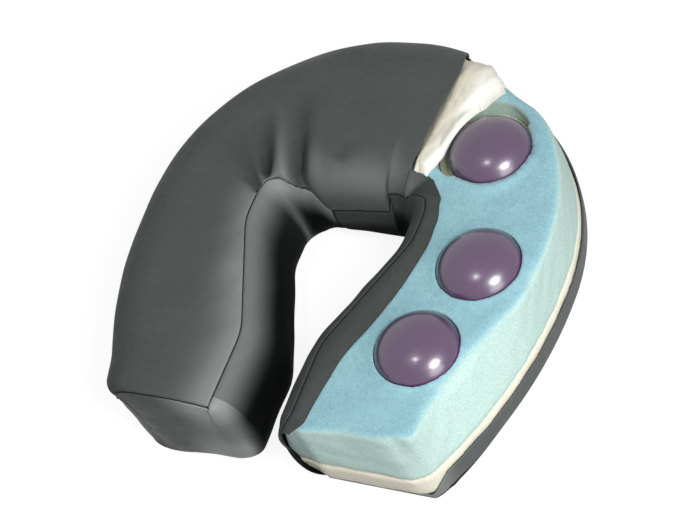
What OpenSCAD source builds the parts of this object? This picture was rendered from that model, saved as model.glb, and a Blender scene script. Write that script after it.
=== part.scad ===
// Face cradle cushion: a horseshoe of layered foam with fluid capsules in pockets, shown with
// its cover and wadding cut back on the right. +X is the right arm, +Y the closed back, +Z up.
// The origin is under the middle of the cushion, on the surface that it lies on.

/* [Overall size] */
// Width across the widest point of the arms
cushion_w = 305; // [290:1:330]
// Length from the front ends of the arms to the closed back
cushion_l = 315; // [305:1:335]
// Height from the fastening strips' faces to the crown of the cover
cushion_h = 73; // [70:0.5:90]
// Radius of the long curve of each arm's outer side
arm_r = 315; // [280:5:400]
// Radius of the outer corner at each arm's front end
front_corner_r = 14; // [8:1:20]
// Radius of the inner corner at each arm's front end
slot_corner_r = 8; // [4:1:12]

/* [Face opening] */
// Half the width of the slot between the front ends
slot_half_w = 10; // [8:0.5:16]
// Half the width of the opening at its widest
opening_half_w = 43; // [39:0.5:48]
// Depth of the closed back, from the opening to the outside
back_depth = 135.5; // [128:0.5:142]
// Angle at which the opening widens from the slot
flare_deg = 21.5; // [16:0.5:28]
// Radius of the bend where the slot ends
nose_r = 49; // [30:1:60]
// Radius of the bend where the opening reaches its width
flare_r = 41; // [30:1:60]
// Radius of the opening's back corners
opening_corner_r = 15.5; // [12:0.5:20]
// Straight stretch between the flare and the back corner
opening_straight = 11; // [6:0.5:16]
// Height at which the opening's rounded side stands out furthest
underside_round_h = 26; // [20:1:30]
// Width of the side's rounding towards the underside
underside_round_w = 20; // [14:1:22]
// Width of the side's rounding towards the seam on top
bulge_w = 19; // [15:0.5:21]

/* [Cover] */
// Thickness of the cover's coated fabric
cover_t = 1.2; // [0.8:0.1:1.6]
// Gap left between sewn edges and between soft layers
layer_gap = 0.3; // [0.2:0.05:0.5]
// Height of the seam between the top panel and the outer band
outer_seam_z = 49; // [46:1:54]
// Depth of the roll at the top panel's outer edge
roll_depth = 25; // [18:1:28]
// How far the seam at the back of the opening hangs below the seam along the arms
back_seam_drop = 27; // [20:1:32]
// How far that seam hangs by the time it reaches the cut, round the right back corner
corner_seam_drop = 11; // [6:1:14]
// How far the lower front corner of the covered arm is drawn in
front_tuck = 12; // [0:1:16]
// Angle from +X at which the cover is cut across
cut_deg = 70; // [65:5:75]
// Width of the cover's margin that is left where it meets the cut
margin_cut_w = 18; // [14:1:20]
// Width of the margin along the widest part of the opening
margin_w = 8; // [6:0.5:11]
// Width of the margin beside the slot
margin_slot_w = 16.5; // [12:0.5:19]
// Width of the margin at the right arm's front tip
margin_tip_w = 5; // [4:0.5:7]
// Height of the cut-down outer band at the right front corner
remnant_h = 17; // [10:1:20]
// Height of the cut-down outer band where it is lowest
remnant_low_h = 4; // [3:0.5:8]

/* [Fastening strips] */
// Thickness of the loop tape strips under the cushion
strip_t = 1.2; // [0.8:0.1:2]
// Width of the loop tape strips
strip_w = 25; // [20:1:32]

/* [Foam layers] */
// Thickness of the firm base foam
base_t = 18.3; // [14:0.1:24]
// Thickness of the memory foam
memory_t = 42.7; // [38:0.1:48]
// Inset of the memory foam's top edge along the widest part
crest_side = 4.5; // [4:0.5:8]
// Inset of that edge where the wadding and the cover press it round
crest_covered = 12; // [10:0.5:15]
// Inset of the memory foam's top edge along the front of the arms
crest_front = 15; // [8:0.5:18]
// Angle from +X at which the wadding ends
wadding_end_deg = 55; // [55:5:60]
// Rise of the wadding's lip where it lies over a capsule
lip_rise = 8; // [5:0.5:12]
// Height at which the wadding ends on the outer side
wadding_hem_z = 44; // [36:1:50]

/* [Fluid capsules] */
// Diameter of each capsule
capsule_d = 57; // [48:0.5:58]
// Height of each capsule
capsule_h = 35; // [28:0.5:38]
// Wall of each capsule's moulded skin
capsule_wall = 1.5; // [1:0.1:2.5]
// How far a free capsule's middle lies under the foam's top
capsule_sink = 3.5; // [1:0.5:6]
// Clearance round a capsule in its pocket
pocket_gap = 0.5; // [0.4:0.1:1.5]
// Radius of the wide end of the back pockets
wide_pocket_r = 33.5; // [30:0.5:34]
// How far that wide end is set towards the middle
wide_pocket_x = 9; // [6:0.5:10]
// How far that wide end is set towards the closed back
wide_pocket_y = 7.5; // [5:0.5:9]
// Place of the front capsules, behind the front ends
front_capsule_y = 72; // [66:1:78]
// Place of the middle capsules, behind the front ends
middle_capsule_y = 138; // [132:1:144]
// Angle from +X, round the middle of the closed back, at which the back capsules lie
back_capsule_deg = 36.4; // [34:0.2:40]
// Distance of the front capsules in from the outer side
front_capsule_in = 49.5; // [47:0.5:52]
// Distance of the middle capsules in from the outer side
middle_capsule_in = 43; // [41:0.5:48]
// Distance of the back capsules in from the outer side
back_capsule_in = 46; // [43:0.5:49]

/* [Hidden] */

cover_grey = [0.33, 0.35, 0.35];
cream = [0.93, 0.91, 0.83];
foam_blue = [0.56, 0.73, 0.76];
capsule_purple = [0.40, 0.26, 0.40];

right = 1;
left = -1;
outer_r = cushion_w / 2;                          // the closed back is a half circle
centre_y = cushion_l / 2 - outer_r;
front_y = -cushion_l / 2;
corner_y = front_y + front_corner_r;
arm_centre_x = outer_r - arm_r;
opening_back_y = cushion_l / 2 - back_depth;
opening_corner_x = opening_half_w - opening_corner_r;
opening_corner_y = opening_back_y - opening_corner_r;
flare_end_y = opening_corner_y - opening_straight;
flare_x = opening_half_w - flare_r * (1 - cos(flare_deg));
flare_y = flare_end_y - flare_r * sin(flare_deg);
nose_x = slot_half_w + nose_r * (1 - cos(flare_deg));
nose_y = flare_y - (flare_x - nose_x) / tan(flare_deg);
nose_start_y = nose_y - nose_r * sin(flare_deg);

skin_in = cover_t + layer_gap;                    // where a layer starts behind a band
filling_in = skin_in + layer_gap;                 // and where it does round tighter bends
bottom_z = strip_t;
bottom_top_z = bottom_z + cover_t;
base_z = bottom_top_z + layer_gap;
base_top_z = base_z + base_t;
memory_z = base_top_z + layer_gap;
memory_top_z = memory_z + memory_t;
top_z = cushion_h;
arm_seam_z = top_z - 2.5;
crown = 1;                                        // rise of the top between its edges
wadding_z = memory_top_z + layer_gap;

corner_steps = 4;
arm_steps = 12;
last_arm = corner_steps + arm_steps;
// Stations round the back, as angles: every 5 degrees, and closer together just past the cut,
// where the upright seam stands in the opening's back
joint_steps = 4;
back_angles = concat([for (a = [0:5:cut_deg]) a],
    [for (k = [1:joint_steps - 1]) cut_deg + k * 5 / joint_steps], [for (a = [cut_deg + 5:5:90]) a]);
last_half = last_arm + len(back_angles) - 1;      // the station on the centre line
cut_station = last_arm + cut_deg / 5;
lip_station = last_arm + wadding_end_deg / 5;
joint_station = cut_station + joint_steps;
rounds = 72;

// ---- plan outline: stations run along one half from the front end to the centre line ----

// Distance that a rounded front corner takes off a side at height y of the plan
function corner_drop(y, r) =
    y < front_y + r ? r - sqrt(max(0, r * r - pow(front_y + r - y, 2))) : 0;

function outer_x(y) =
    arm_centre_x + sqrt(arm_r * arm_r - pow(y - centre_y, 2)) - corner_drop(y, front_corner_r);

// The opening's side: slot, bend, slanted line, bend, straight
function opening_x(y) =
    y < nose_start_y ? slot_half_w + corner_drop(y, slot_corner_r) :
    y < nose_y ? slot_half_w + nose_r - sqrt(nose_r * nose_r - pow(y - nose_start_y, 2)) :
    y < flare_y ? nose_x + (y - nose_y) * tan(flare_deg) :
    y < flare_end_y ? opening_half_w - flare_r + sqrt(flare_r * flare_r - pow(flare_end_y - y, 2)) :
    opening_half_w;

// Plan height of an arm station; inset moves the front one back
function station_y(i, inset) =
    i < corner_steps ? front_y + inset + (front_corner_r - inset) * (1 - cos(90 * i / corner_steps)) :
    corner_y + (centre_y - corner_y) * (i - corner_steps) / arm_steps;

function back_angle(i) = back_angles[i - last_arm];
function back_outer(a) = [outer_r * cos(a), centre_y + outer_r * sin(a)];
corner_at_cut = 43;                               // how far round the corner the cut starts
corner_end_deg = cut_deg + 10;                    // back angle at which the corner is fully turned
function opening_corner(a) = [opening_corner_x + opening_corner_r * cos(a),
    opening_corner_y + opening_corner_r * sin(a)];
function back_inner(a) =
    a < cut_deg ? opening_corner(corner_at_cut * a / cut_deg) :
    a < corner_end_deg ?
        opening_corner(corner_at_cut + (90 - corner_at_cut) * (a - cut_deg) / (corner_end_deg - cut_deg)) :
    [opening_corner_x * (90 - a) / (90 - corner_end_deg), opening_back_y];

function inner_base(i, inset) = i <= last_arm ?
    [opening_x(station_y(i, inset)), station_y(i, inset)] : back_inner(back_angle(i));
function outer_base(i, inset) = i <= last_arm ?
    [outer_x(station_y(i, inset)), station_y(i, inset)] : back_outer(back_angle(i));
function across(i, inset) = outer_base(i, inset) - inner_base(i, inset);

function ease(t) = let(u = min(1, max(0, t))) u * u * (3 - 2 * u);
// How far the covered arm's outer side is drawn in at its lower front corner
function tuck(i, side, z) = side == right || i > last_arm ? 0 :
    front_tuck * ease(1 - (station_y(i, 0) - front_y) / 60) * max(0, 1 - z / outer_seam_z);

// What a layer at depth t gives way more in a front corner, where its radius is smaller by t
function corner_extra(i, inset, t) =
    let(h = corner_y - station_y(i, inset), r = max(front_corner_r - t, h))
    i < corner_steps ? r - sqrt(r * r - h * h) - corner_drop(station_y(i, inset), front_corner_r) : 0;

// A profile point is [edge, distance, z]: distance in from the opening (edge 0) or from the
// outside (edge 1), or the share of the way across (edge 2)
function place(i, side, inset, p) =
    let(a = inner_base(i, inset), d = across(i, inset), u = d / norm(d),
        q = p[0] == 0 ? a + u * p[1] :
            p[0] == 1 ? a + d - u * (p[1] + corner_extra(i, inset, p[1]) + tuck(i, side, p[2])) :
            a + d * p[1])
    [side * q[0], q[1], p[2]];

// ---- a solid carried along the stations ----

// Stations of the whole horseshoe, from the left front round to the right front
function from_left(i) = i <= last_half ? [i, left] : [2 * last_half - i, right];

module loft(rings) {
    n = len(rings[0]);
    last = len(rings) - 1;
    sides = [for (k = [0:last - 1]) for (j = [0:n - 1])
        let(a = k * n + j, b = k * n + (j + 1) % n, c = b + n, d = a + n)
        each [[a, b, c], [a, c, d]]];
    first_cap = [[for (j = [n - 1:-1:0]) j]];
    last_cap = [[for (j = [0:n - 1]) last * n + j]];
    polyhedron(points = [for (r = rings) each r], faces = concat(sides, first_cap, last_cap));
}

// ---- the opening's rounded side: two quarters of ellipses, one below and one above ----
// A layer lying t inside the cover's face shrinks both by t.

round_steps = 6;
round_z = bottom_z + underside_round_h;
rise_steps = 8;
rise_h = arm_seam_z - round_z;
roll_steps = 8;
roll_end = bulge_w + 14;                          // where the top panel levels out

function round_points(t) = [for (k = [0:round_steps]) let(a = 90 * k / round_steps)
    [0, underside_round_w - (underside_round_w - t) * sin(a), round_z - (underside_round_h - t) * cos(a)]];
function rise_point(t, a) = [0, bulge_w - (bulge_w - t) * cos(a), round_z + (rise_h - t) * sin(a)];

// How far up the upper quarter the seam runs, in degrees: to the end of it along the arms
function drop_angle(drop) = asin((rise_h - drop) / rise_h);
left_drop = [28, 75];                             // back angles between which the seam comes down
right_drop_start = 20;
function seam_angle(i, side) = let(a = i <= last_arm ? 0 : back_angle(i),
        low = drop_angle(back_seam_drop), corner = drop_angle(corner_seam_drop))
    side == left ? 90 + (low - 90) * ease((a - left_drop[0]) / (left_drop[1] - left_drop[0])) :
    a < cut_deg ? 90 + (corner - 90) * ease((a - right_drop_start) / (cut_deg - right_drop_start)) :
    corner + (low - corner) * min(1, (a - cut_deg) / 5);
function seam_point(i, side, t) = rise_point(t, seam_angle(i, side));

// Inward distance of a layer at depth t and height z: lower quarter, upper quarter, then the
// roll of the top panel above the seam
function quarter(x) = sqrt(1 - pow(min(1, max(0, x)), 2));
function inner_in(i, side, t, z) = let(s = seam_point(i, side, t))
    z < round_z ?
        underside_round_w - (underside_round_w - t) * quarter((round_z - z) / (underside_round_h - t)) :
    z < s[2] ? bulge_w - (bulge_w - t) * quarter((z - round_z) / (rise_h - t)) :
    roll_end - (roll_end - s[1]) * quarter((z - s[2]) / (top_z - crown - t - s[2]));

// ---- the top panel ----

function outer_roll(t, steps) = [for (k = [0:steps]) let(a = 90 * k / steps)
    [1, t + (roll_depth - t) * (1 - cos(a)), outer_seam_z + (top_z - crown - outer_seam_z - t) * sin(a)]];
// The panel's face at depth t, from the outer seam over the top to the inner seam
function top_face(i, side, t) = let(s = seam_point(i, side, t), high = top_z - crown - t)
    concat(outer_roll(t, roll_steps), [[2, 0.5, top_z - t]],
        [for (k = [roll_steps:-1:0]) let(a = 90 * k / roll_steps)
            [0, roll_end - (roll_end - s[1]) * cos(a), s[2] + (high - s[2]) * sin(a)]]);

function shell_ring(i, side, inset, outside, inside) =
    [for (p = concat(outside, [for (k = [len(inside) - 1:-1:0]) inside[k]])) place(i, side, inset, p)];

// Room between the seam and a capsule's pocket, straight across at a station
function pocket_room(i, k) =
    let(a = inner_base(i, 0), d = across(i, 0), u = d / norm(d), c = capsule_centre(k, right) - a,
        r = capsule_d / 2 + pocket_gap, off = abs(c[0] * u[1] - c[1] * u[0]))
    off < r ? c * u - sqrt(r * r - off * off) - seam_point(i, right, 0)[1] - layer_gap : margin_cut_w;

// Width of the cover's margin along the right arm: narrow at the tip, wide beside the slot and
// towards the cut, and cut back to what the pockets leave
function margin(i) = min(margin_run(i), min([for (k = [0:2]) pocket_room(i, k)]));
function margin_run(i) = let(y = station_y(i, 0))
    i > last_arm ?
        margin_w + (margin_cut_w - margin_w) * ease((back_angle(i) - widen_deg[0]) / widen_deg[1]) :
    y < nose_start_y ?
        margin_tip_w + (margin_slot_w - margin_tip_w) * (y - front_y) / (nose_start_y - front_y) :
    margin_slot_w + (margin_w - margin_slot_w) * ease((y - flare_y) / narrow_run + 1);
widen_deg = [20, 30];                             // where the margin widens towards the cut, and over how far
narrow_run = 40;                                  // stretch beside the opening over which it narrows

module cover_top_panel() {
    color(cover_grey) loft([for (k = [2 * last_half - cut_station:-1:0]) let(s = from_left(k))
        shell_ring(s[0], s[1], 0, top_face(s[0], s[1], 0), top_face(s[0], s[1], cover_t))]);
}

// The strip of the top panel that the cut leaves along the right arm: it rises a little past
// the seam and then lies down on the foam
module cover_margin_right() {
    edge_z = memory_top_z + layer_gap;
    color(cover_grey) loft([for (i = [0:cut_station])
        let(b = seam_angle(i, right), s = seam_point(i, right, 0), e = s[1] + margin(i),
            k = [0, max(s[1] + cover_t, 10), max(s[2] + 0.4, edge_z + 2)],
            in = [0, cos(b), -sin(b)] * cover_t)
        [for (p = [[0, e, edge_z], [0, e, edge_z + cover_t], k, s, s + in, k + in])
            place(i, right, 0, p)]]);
}

// ---- the other cover panels ----

// A band's face at depth t, from the underside round the side and up to just below its seam
function inner_band_face(i, side, t) = let(top = seam_angle(i, side) - layer_gap / rise_h * 90)
    concat(round_points(t), [for (k = [1:rise_steps]) rise_point(t, top * k / rise_steps)]);

function inner_ring(i, side, inset) =
    shell_ring(i, side, inset, inner_band_face(i, side, 0), inner_band_face(i, side, cover_t));

// The front end's outline, closed along the underside; it lies just inside the bands' faces
// and under the top panel
end_inset = 0.1;
function end_outline(inset) = let(roll = outer_roll(skin_in, roll_steps))
    [for (p = concat(round_points(end_inset),
            [for (k = [1:rise_steps - 1]) rise_point(end_inset, 90 * k / rise_steps)],
            [[0, bulge_w, arm_seam_z - skin_in], [0, roll_end, top_z - crown - skin_in]],
            [for (k = [roll_steps:-1:0]) roll[k]],
            [[1, end_inset, outer_seam_z - layer_gap], [1, end_inset, bottom_z + end_inset]]))
        place(0, left, inset, p)];

module cover_inner_band_left() {
    color(cover_grey) {
        loft([for (i = [0:joint_station]) inner_ring(i, left, cover_t / 2)]);
        loft([end_outline(0), end_outline(cover_t)]);
    }
}

module cover_inner_band_back() {
    color(cover_grey) loft([for (k = [joint_station:2 * last_half - joint_station]) let(s = from_left(k))
        inner_ring(s[0], s[1], 0)]);
}

module cover_inner_band_right() {
    color(cover_grey) loft([for (i = [joint_station:-1:0]) inner_ring(i, right, skin_in)]);
}

module cover_bottom_panel() {
    color(cover_grey) loft([for (k = [0:2 * last_half]) let(s = from_left(k))
        [for (p = [[0, underside_round_w + layer_gap, bottom_z],
                   [0, underside_round_w + layer_gap, bottom_top_z],
                   [1, filling_in, bottom_top_z], [1, filling_in, bottom_z]])
            place(s[0], s[1], filling_in, p)]]);
}

// An upright band at the outside, very slightly bulged between its edges
band_bulge = 0.1;
band_steps = 6;
function outer_ring(i, side, inset, high) = let(face = [for (k = [0:band_steps]) let(x = k / band_steps)
        [1, band_bulge * pow(2 * x - 1, 2), bottom_z + (high - bottom_z) * x]])
    shell_ring(i, side, inset, face, [for (p = face) p + [0, cover_t, 0]]);

module cover_outer_band() {
    color(cover_grey) loft([for (k = [2 * last_half - cut_station:-1:0]) let(s = from_left(k))
        outer_ring(s[0], s[1], skin_in, outer_seam_z - layer_gap)]);
}

// Height of the cut-down band: full at the front corner, lowest towards the cut
function remnant_z(i) = bottom_z + (i > last_arm ? remnant_low_h :
    remnant_low_h + (remnant_h - remnant_low_h) * ease(1 - (station_y(i, 0) - front_y) / 170));

// Inward normal of the outer side in plan, round the front corner too
function inward(i, side) = let(a = min(90, 90 * i / corner_steps), d = across(i, 0))
    i < corner_steps ? [-side * sin(a), cos(a), 0] : -[side * d[0], d[1], 0] / norm(d);

// The remnant's section: a low wall of the cover's thickness, from its foot to its head
function wall_ring(foot, head, normal) =
    let(face = [for (k = [0:band_steps]) let(x = k / band_steps)
        foot + (head - foot) * x + normal * band_bulge * pow(2 * x - 1, 2)])
    concat(face, [for (k = [band_steps:-1:0]) face[k] + normal * cover_t]);

// It runs down the outer side, round the corner, and along the front end, where it follows the
// rounded edge
module cover_outer_band_remnant() {
    foot = concat([[1, 0, bottom_z]], round_points(0));
    head = concat([[1, 0, remnant_z(0)]], round_points(remnant_low_h));
    color(cover_grey) loft(concat(
        [for (k = [len(foot) - 1:-1:0])
            wall_ring(place(0, right, 0, foot[k]), place(0, right, 0, head[k]), [0, 1, 0])],
        [for (i = [1:cut_station]) wall_ring(place(i, right, 0, [1, 0, bottom_z]),
            place(i, right, 0, [1, 0, remnant_z(i)]), inward(i, right))]));
}

// ---- fastening strips ----

strip_first = corner_steps + 3;
strip_last = last_arm + 2;
strip_share = 0.6;                                // the strip's middle, as a share across the arm

module strip(stations) {
    mids = [for (s = stations) place(s[0], s[1], 0, [2, strip_share, 0])];
    arms = [for (s = stations) let(d = across(s[0], 0)) [s[1] * d[0], d[1]] / norm(d) * strip_w / 2];
    n = len(stations);
    linear_extrude(strip_t) polygon(concat(
        [for (k = [0:n - 1]) [mids[k][0], mids[k][1]] + arms[k]],
        [for (k = [n - 1:-1:0]) [mids[k][0], mids[k][1]] - arms[k]]));
}

module fastening_strip_left() {
    color("dimgray") strip([for (i = [strip_first:strip_last]) [i, left]]);
}

module fastening_strip_right() {
    color("dimgray") strip([for (i = [strip_first:strip_last]) [i, right]]);
}

module fastening_strip_back() {
    color("dimgray") strip([for (k = [last_half - 8:last_half + 8]) from_left(k)]);
}

// ---- foam layers ----

module base_foam() {
    color(cream) loft([for (k = [0:2 * last_half]) let(s = from_left(k))
        [for (p = concat([for (p = round_points(skin_in)) if (p[2] < base_top_z - 1) p],
                [[0, inner_in(s[0], s[1], skin_in, base_top_z), base_top_z], [1, filling_in, base_top_z],
                 [1, filling_in, base_z]]))
            place(s[0], s[1], filling_in, p)]]);
}

// Inset of the memory foam's crest: deep along the front of the arms, slight along the widest
// part, and rounder again from the wadding's end on
function crest(i, side) =
    i > last_arm ? crest_side + (crest_covered - crest_side) *
        (side == left ? 1 : ease((back_angle(i) - wadding_end_deg + 15) / 15)) :
    (side == left ? crest_covered : crest_side) +
        (crest_front - (side == left ? crest_covered : crest_side)) * ease((-30 - station_y(i, 0)) / 50);
crest_drop = 3;                                   // the crest is eased over this height
side_levels = 9;

module memory_blank() {
    levels = [for (k = [0:side_levels]) memory_z + memory_t * k / side_levels];
    loft([for (k = [0:2 * last_half]) let(s = from_left(k), c = crest(s[0], s[1]))
        [for (p = concat(
                [for (z = levels) [0, inner_in(s[0], s[1], filling_in, z) + (z > memory_top_z - 1 ? 2 : 0), z]],
                [[1, c + crest_drop, memory_top_z], [1, c, memory_top_z - crest_drop],
                 [1, filling_in, memory_z + 3], [1, filling_in, memory_z]]))
            place(s[0], s[1], filling_in, p)]]);
}

function dir(a) = [cos(a), sin(a)];
function arc(c, r, from, to, steps) = [for (k = [0:steps]) c + r * dir(from + (to - from) * k / steps)];

// Plan outline of a pocket, grown or shrunk by grow. The back pockets are wider on one side:
// an arc round the capsule and a larger one, joined by their outer tangents.
module pocket_outline(k, side, grow) {
    c = capsule_centre(k, side);
    r = capsule_d / 2 + pocket_gap + grow;
    if (k == 0) {
        d = [-side * wide_pocket_x, wide_pocket_y];
        wide = wide_pocket_r + grow;
        turn = atan2(d[1], d[0]);
        lean = acos((r - wide) / norm(d));
        polygon(concat(arc(c + d, wide, turn - lean, turn + lean, 40),
            arc(c, r, turn + lean, turn + 360 - lean, 24)));
    } else {
        translate(c) circle(r, $fn = rounds);
    }
}

module memory_foam() {
    color(foam_blue) difference() {
        memory_blank();
        for (side = [left, right]) for (k = [0:2])
            translate([0, 0, memory_z - 1]) linear_extrude(memory_t + 2) pocket_outline(k, side, 0);
    }
}

// ---- wadding: lies on the memory foam and wraps its outer side, up to the rolled lip ----

// The wadding rises over the first capsule between the cut and its lip
function lip(i, side) = side == left || i > cut_station ? 0 :
    lip_rise * ease((cut_station - i) / (cut_station - lip_station));

// Where the wadding's inner edge runs: by the opening under the cover, by the margin past the cut
function wadding_in(i, side, z) = side == right && i <= cut_station ?
    seam_point(i, side, 0)[1] + margin(i) + 2 * layer_gap : inner_in(i, side, filling_in, z) + layer_gap;

// Height over the right back capsule at a point of the plan, with room for it to be lifted
capsule_room = 3;
function over_capsule(q) = let(c = capsule_at(0, right),
        d = norm([q[0] - c[0], q[1] - c[1]]) / (capsule_d / 2 + capsule_room))
    d < 1 ? c[2] + (capsule_h / 2 + capsule_room) * sqrt(1 - d * d) : 0;

// The wadding's underside, raised where it lies over that capsule
under_steps = 10;
function wadding_under(i, side) =
    let(from = wadding_in(i, side, wadding_z) + 1,
        c = crest(i, side) + crest_drop + layer_gap,
        to = norm(across(i, filling_in)) - c - corner_extra(i, filling_in, c))
    [for (k = [0:under_steps]) let(x = k / under_steps, e = from + (to - from) * x)
        [0, e, max(wadding_z + band_bulge * (1 - pow(2 * x - 1, 2)),
                   over_capsule(place(i, side, filling_in, [0, e, 0])))]];

// The wadding's section, from its hem on the outer side over the top and back underneath
function wadding_face(i, side) =
    let(c = crest(i, side), up = lip(i, side), g = layer_gap,
        hem = (wadding_hem_z - memory_z - 3) / (memory_t - 3 - crest_drop),
        flat_in = filling_in + (c - filling_in) * hem,
        // keeps to the foam's straight side in the front corner too
        hem_in = flat_in + corner_extra(i, filling_in, filling_in) * (1 - hem) +
            corner_extra(i, filling_in, c) * hem - corner_extra(i, filling_in, flat_in),
        high = top_z - crown - filling_in, mid = (high + wadding_z) / 2,
        roll = outer_roll(filling_in, roll_steps))
    concat([[1, filling_in, wadding_hem_z]],
        [for (k = [0:roll_steps]) roll[k] + [0, 0, up * k / roll_steps]],
        [[2, 0.5, high + up], [0, max(wadding_in(i, side, mid) + 4, roll_end), high + up],
         [0, wadding_in(i, side, mid), mid + up * 0.5]],
        wadding_under(i, side),
        [[1, c - g, memory_top_z - crest_drop + g], [1, hem_in - g, wadding_hem_z]]);

module top_wadding() {
    color("ivory") loft([for (k = [2 * last_half - lip_station:-1:0]) let(s = from_left(k))
        [for (p = wadding_face(s[0], s[1])) place(s[0], s[1], filling_in, p)]]);
}

// ---- fluid capsules and the foam pads that carry them ----

function capsule_centre(k, side) = let(y = front_y + (k == 1 ? middle_capsule_y : front_capsule_y),
        q = k == 0 ? [0, centre_y] + (outer_r - back_capsule_in) * dir(back_capsule_deg) :
            [outer_x(y) - (k == 1 ? middle_capsule_in : front_capsule_in), y])
    [side * q[0], q[1]];

// The right capsules stand free; the covered left ones are pressed level with the foam
function capsule_z(side) = side == right ? memory_top_z - capsule_sink :
    memory_top_z - layer_gap - capsule_h / 2;
function capsule_at(k, side) = concat(capsule_centre(k, side), [capsule_z(side)]);

module ellipsoid(a, c) {
    steps = 18;
    rotate_extrude($fn = rounds) polygon([for (k = [-steps:steps]) let(t = 90 * k / steps)
        [abs(k) == steps ? 0 : a * cos(t), c * sin(t)]]);
}

module capsule_skin(k, side) {
    color(capsule_purple) translate(capsule_at(k, side)) difference() {
        ellipsoid(capsule_d / 2, capsule_h / 2);
        ellipsoid(capsule_d / 2 - capsule_wall, capsule_h / 2 - capsule_wall);
    }
}

module capsule_fluid(k, side) {
    fill = capsule_wall + layer_gap / 2;
    color("indigo") translate(capsule_at(k, side)) ellipsoid(capsule_d / 2 - fill, capsule_h / 2 - fill);
}

pad_dish = 1.5;                                   // how deep a capsule sits in its pad
module seat_pad(k, side) {
    pad_top = capsule_z(side) - capsule_h / 2 + pad_dish;
    color(cream) difference() {
        translate([0, 0, base_top_z]) linear_extrude(pad_top - base_top_z)
            pocket_outline(k, side, -layer_gap);
        translate(capsule_at(k, side)) ellipsoid(capsule_d / 2 + layer_gap, capsule_h / 2 + layer_gap);
    }
}

fastening_strip_left();
fastening_strip_right();
fastening_strip_back();
cover_bottom_panel();
cover_outer_band();
cover_outer_band_remnant();
cover_inner_band_left();
cover_inner_band_back();
cover_inner_band_right();
cover_top_panel();
cover_margin_right();
base_foam();
memory_foam();
top_wadding();
seat_pad(0, right);  // seat_pad_right_back
seat_pad(1, right);  // seat_pad_right_middle
seat_pad(2, right);  // seat_pad_right_front
seat_pad(0, left);  // seat_pad_left_back
seat_pad(1, left);  // seat_pad_left_middle
seat_pad(2, left);  // seat_pad_left_front
capsule_skin(0, right);  // capsule_skin_right_back
capsule_skin(1, right);  // capsule_skin_right_middle
capsule_skin(2, right);  // capsule_skin_right_front
capsule_skin(0, left);  // capsule_skin_left_back
capsule_skin(1, left);  // capsule_skin_left_middle
capsule_skin(2, left);  // capsule_skin_left_front
capsule_fluid(0, right);  // capsule_fluid_right_back
capsule_fluid(1, right);  // capsule_fluid_right_middle
capsule_fluid(2, right);  // capsule_fluid_right_front
capsule_fluid(0, left);  // capsule_fluid_left_back
capsule_fluid(1, left);  // capsule_fluid_left_middle
capsule_fluid(2, left);  // capsule_fluid_left_front
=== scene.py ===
import bmesh
import bpy
import numpy as np
from math import radians
from mathutils import Matrix, Vector
from mathutils.bvhtree import BVHTree


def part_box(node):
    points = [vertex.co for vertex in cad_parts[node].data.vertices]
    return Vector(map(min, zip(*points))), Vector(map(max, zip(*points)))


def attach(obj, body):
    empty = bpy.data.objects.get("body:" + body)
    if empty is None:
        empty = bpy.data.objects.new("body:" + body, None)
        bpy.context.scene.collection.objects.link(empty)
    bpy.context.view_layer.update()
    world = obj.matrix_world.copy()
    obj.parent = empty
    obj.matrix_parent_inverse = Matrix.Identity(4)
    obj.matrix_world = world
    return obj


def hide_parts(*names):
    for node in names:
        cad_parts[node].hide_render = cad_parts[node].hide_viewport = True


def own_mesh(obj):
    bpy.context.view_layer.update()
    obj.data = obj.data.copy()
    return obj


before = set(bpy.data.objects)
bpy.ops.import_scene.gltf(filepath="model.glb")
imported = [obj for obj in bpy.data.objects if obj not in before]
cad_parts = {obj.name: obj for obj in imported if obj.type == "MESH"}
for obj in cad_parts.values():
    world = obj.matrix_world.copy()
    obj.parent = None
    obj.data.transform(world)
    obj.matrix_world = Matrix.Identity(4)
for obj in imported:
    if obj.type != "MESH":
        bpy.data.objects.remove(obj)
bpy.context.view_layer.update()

# Everything below is worked out in millimetres, in the CAD's frame, and becomes metres where a mesh
# is written. +X is the right arm, the cut-away one, +Y the closed back, +Z up

photoCamera = {
    "place": (636.1, -642.3, 1113.4),
    "azimuth": 45.151,
    "elevation": 50.440,
    "roll": -29.625,
    "lens": 108.32,
    "sensor": 36.0,
}


# Columns right, up and back of a camera at that azimuth, elevation and roll
def cameraAxes(setup):
    az, el, roll = (radians(setup[k]) for k in ("azimuth", "elevation", "roll"))
    back = np.array([np.sin(az) * np.cos(el), -np.cos(az) * np.cos(el), np.sin(el)])
    level = np.array([np.cos(az), np.sin(az), 0.0])
    over = np.cross(back, level)
    right = level * np.cos(roll) + over * np.sin(roll)
    return np.array([right, np.cross(back, right), back]).T


def addObject(name, data):
    made = bpy.data.objects.new(name, data)
    bpy.context.scene.collection.objects.link(made)
    return made


# A piece has its CAD node's name in camelCase
def nodeOf(name):
    return "".join("_" + c.lower() if c.isupper() else c for c in name)


def ridePiece(piece, body="cushion"):
    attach(piece, body)
    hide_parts(nodeOf(piece.name))
    return piece


# A mark is a point attribute that a material reads
def setMark(mesh, key, value):
    data = mesh.attributes.new(key, "FLOAT", "POINT").data
    data.foreach_set("value", np.ravel(value).astype(np.float32))


def shadeSmooth(mesh):
    mesh.polygons.foreach_set("use_smooth", np.ones(len(mesh.polygons), bool))
    mesh.update()


def readVertices(mesh, what="co"):
    flat = np.empty(len(mesh.vertices) * 3, np.float32)
    mesh.vertices.foreach_get(what, flat)
    return flat.reshape(-1, 3)


def makeMesh(name, points, faces, body="cushion", marks=None):
    mesh = bpy.data.meshes.new(name)
    mesh.from_pydata((np.asarray(points).reshape(-1, 3) / 1000).tolist(), [], faces)
    for key, value in (marks or {}).items():
        setMark(mesh, key, value)
    shadeSmooth(mesh)
    return ridePiece(addObject(name, mesh), body)


# Low and high corners of a CAD node's box
def boxOf(node):
    return (np.array(corner) * 1000 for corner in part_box(node))


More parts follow.
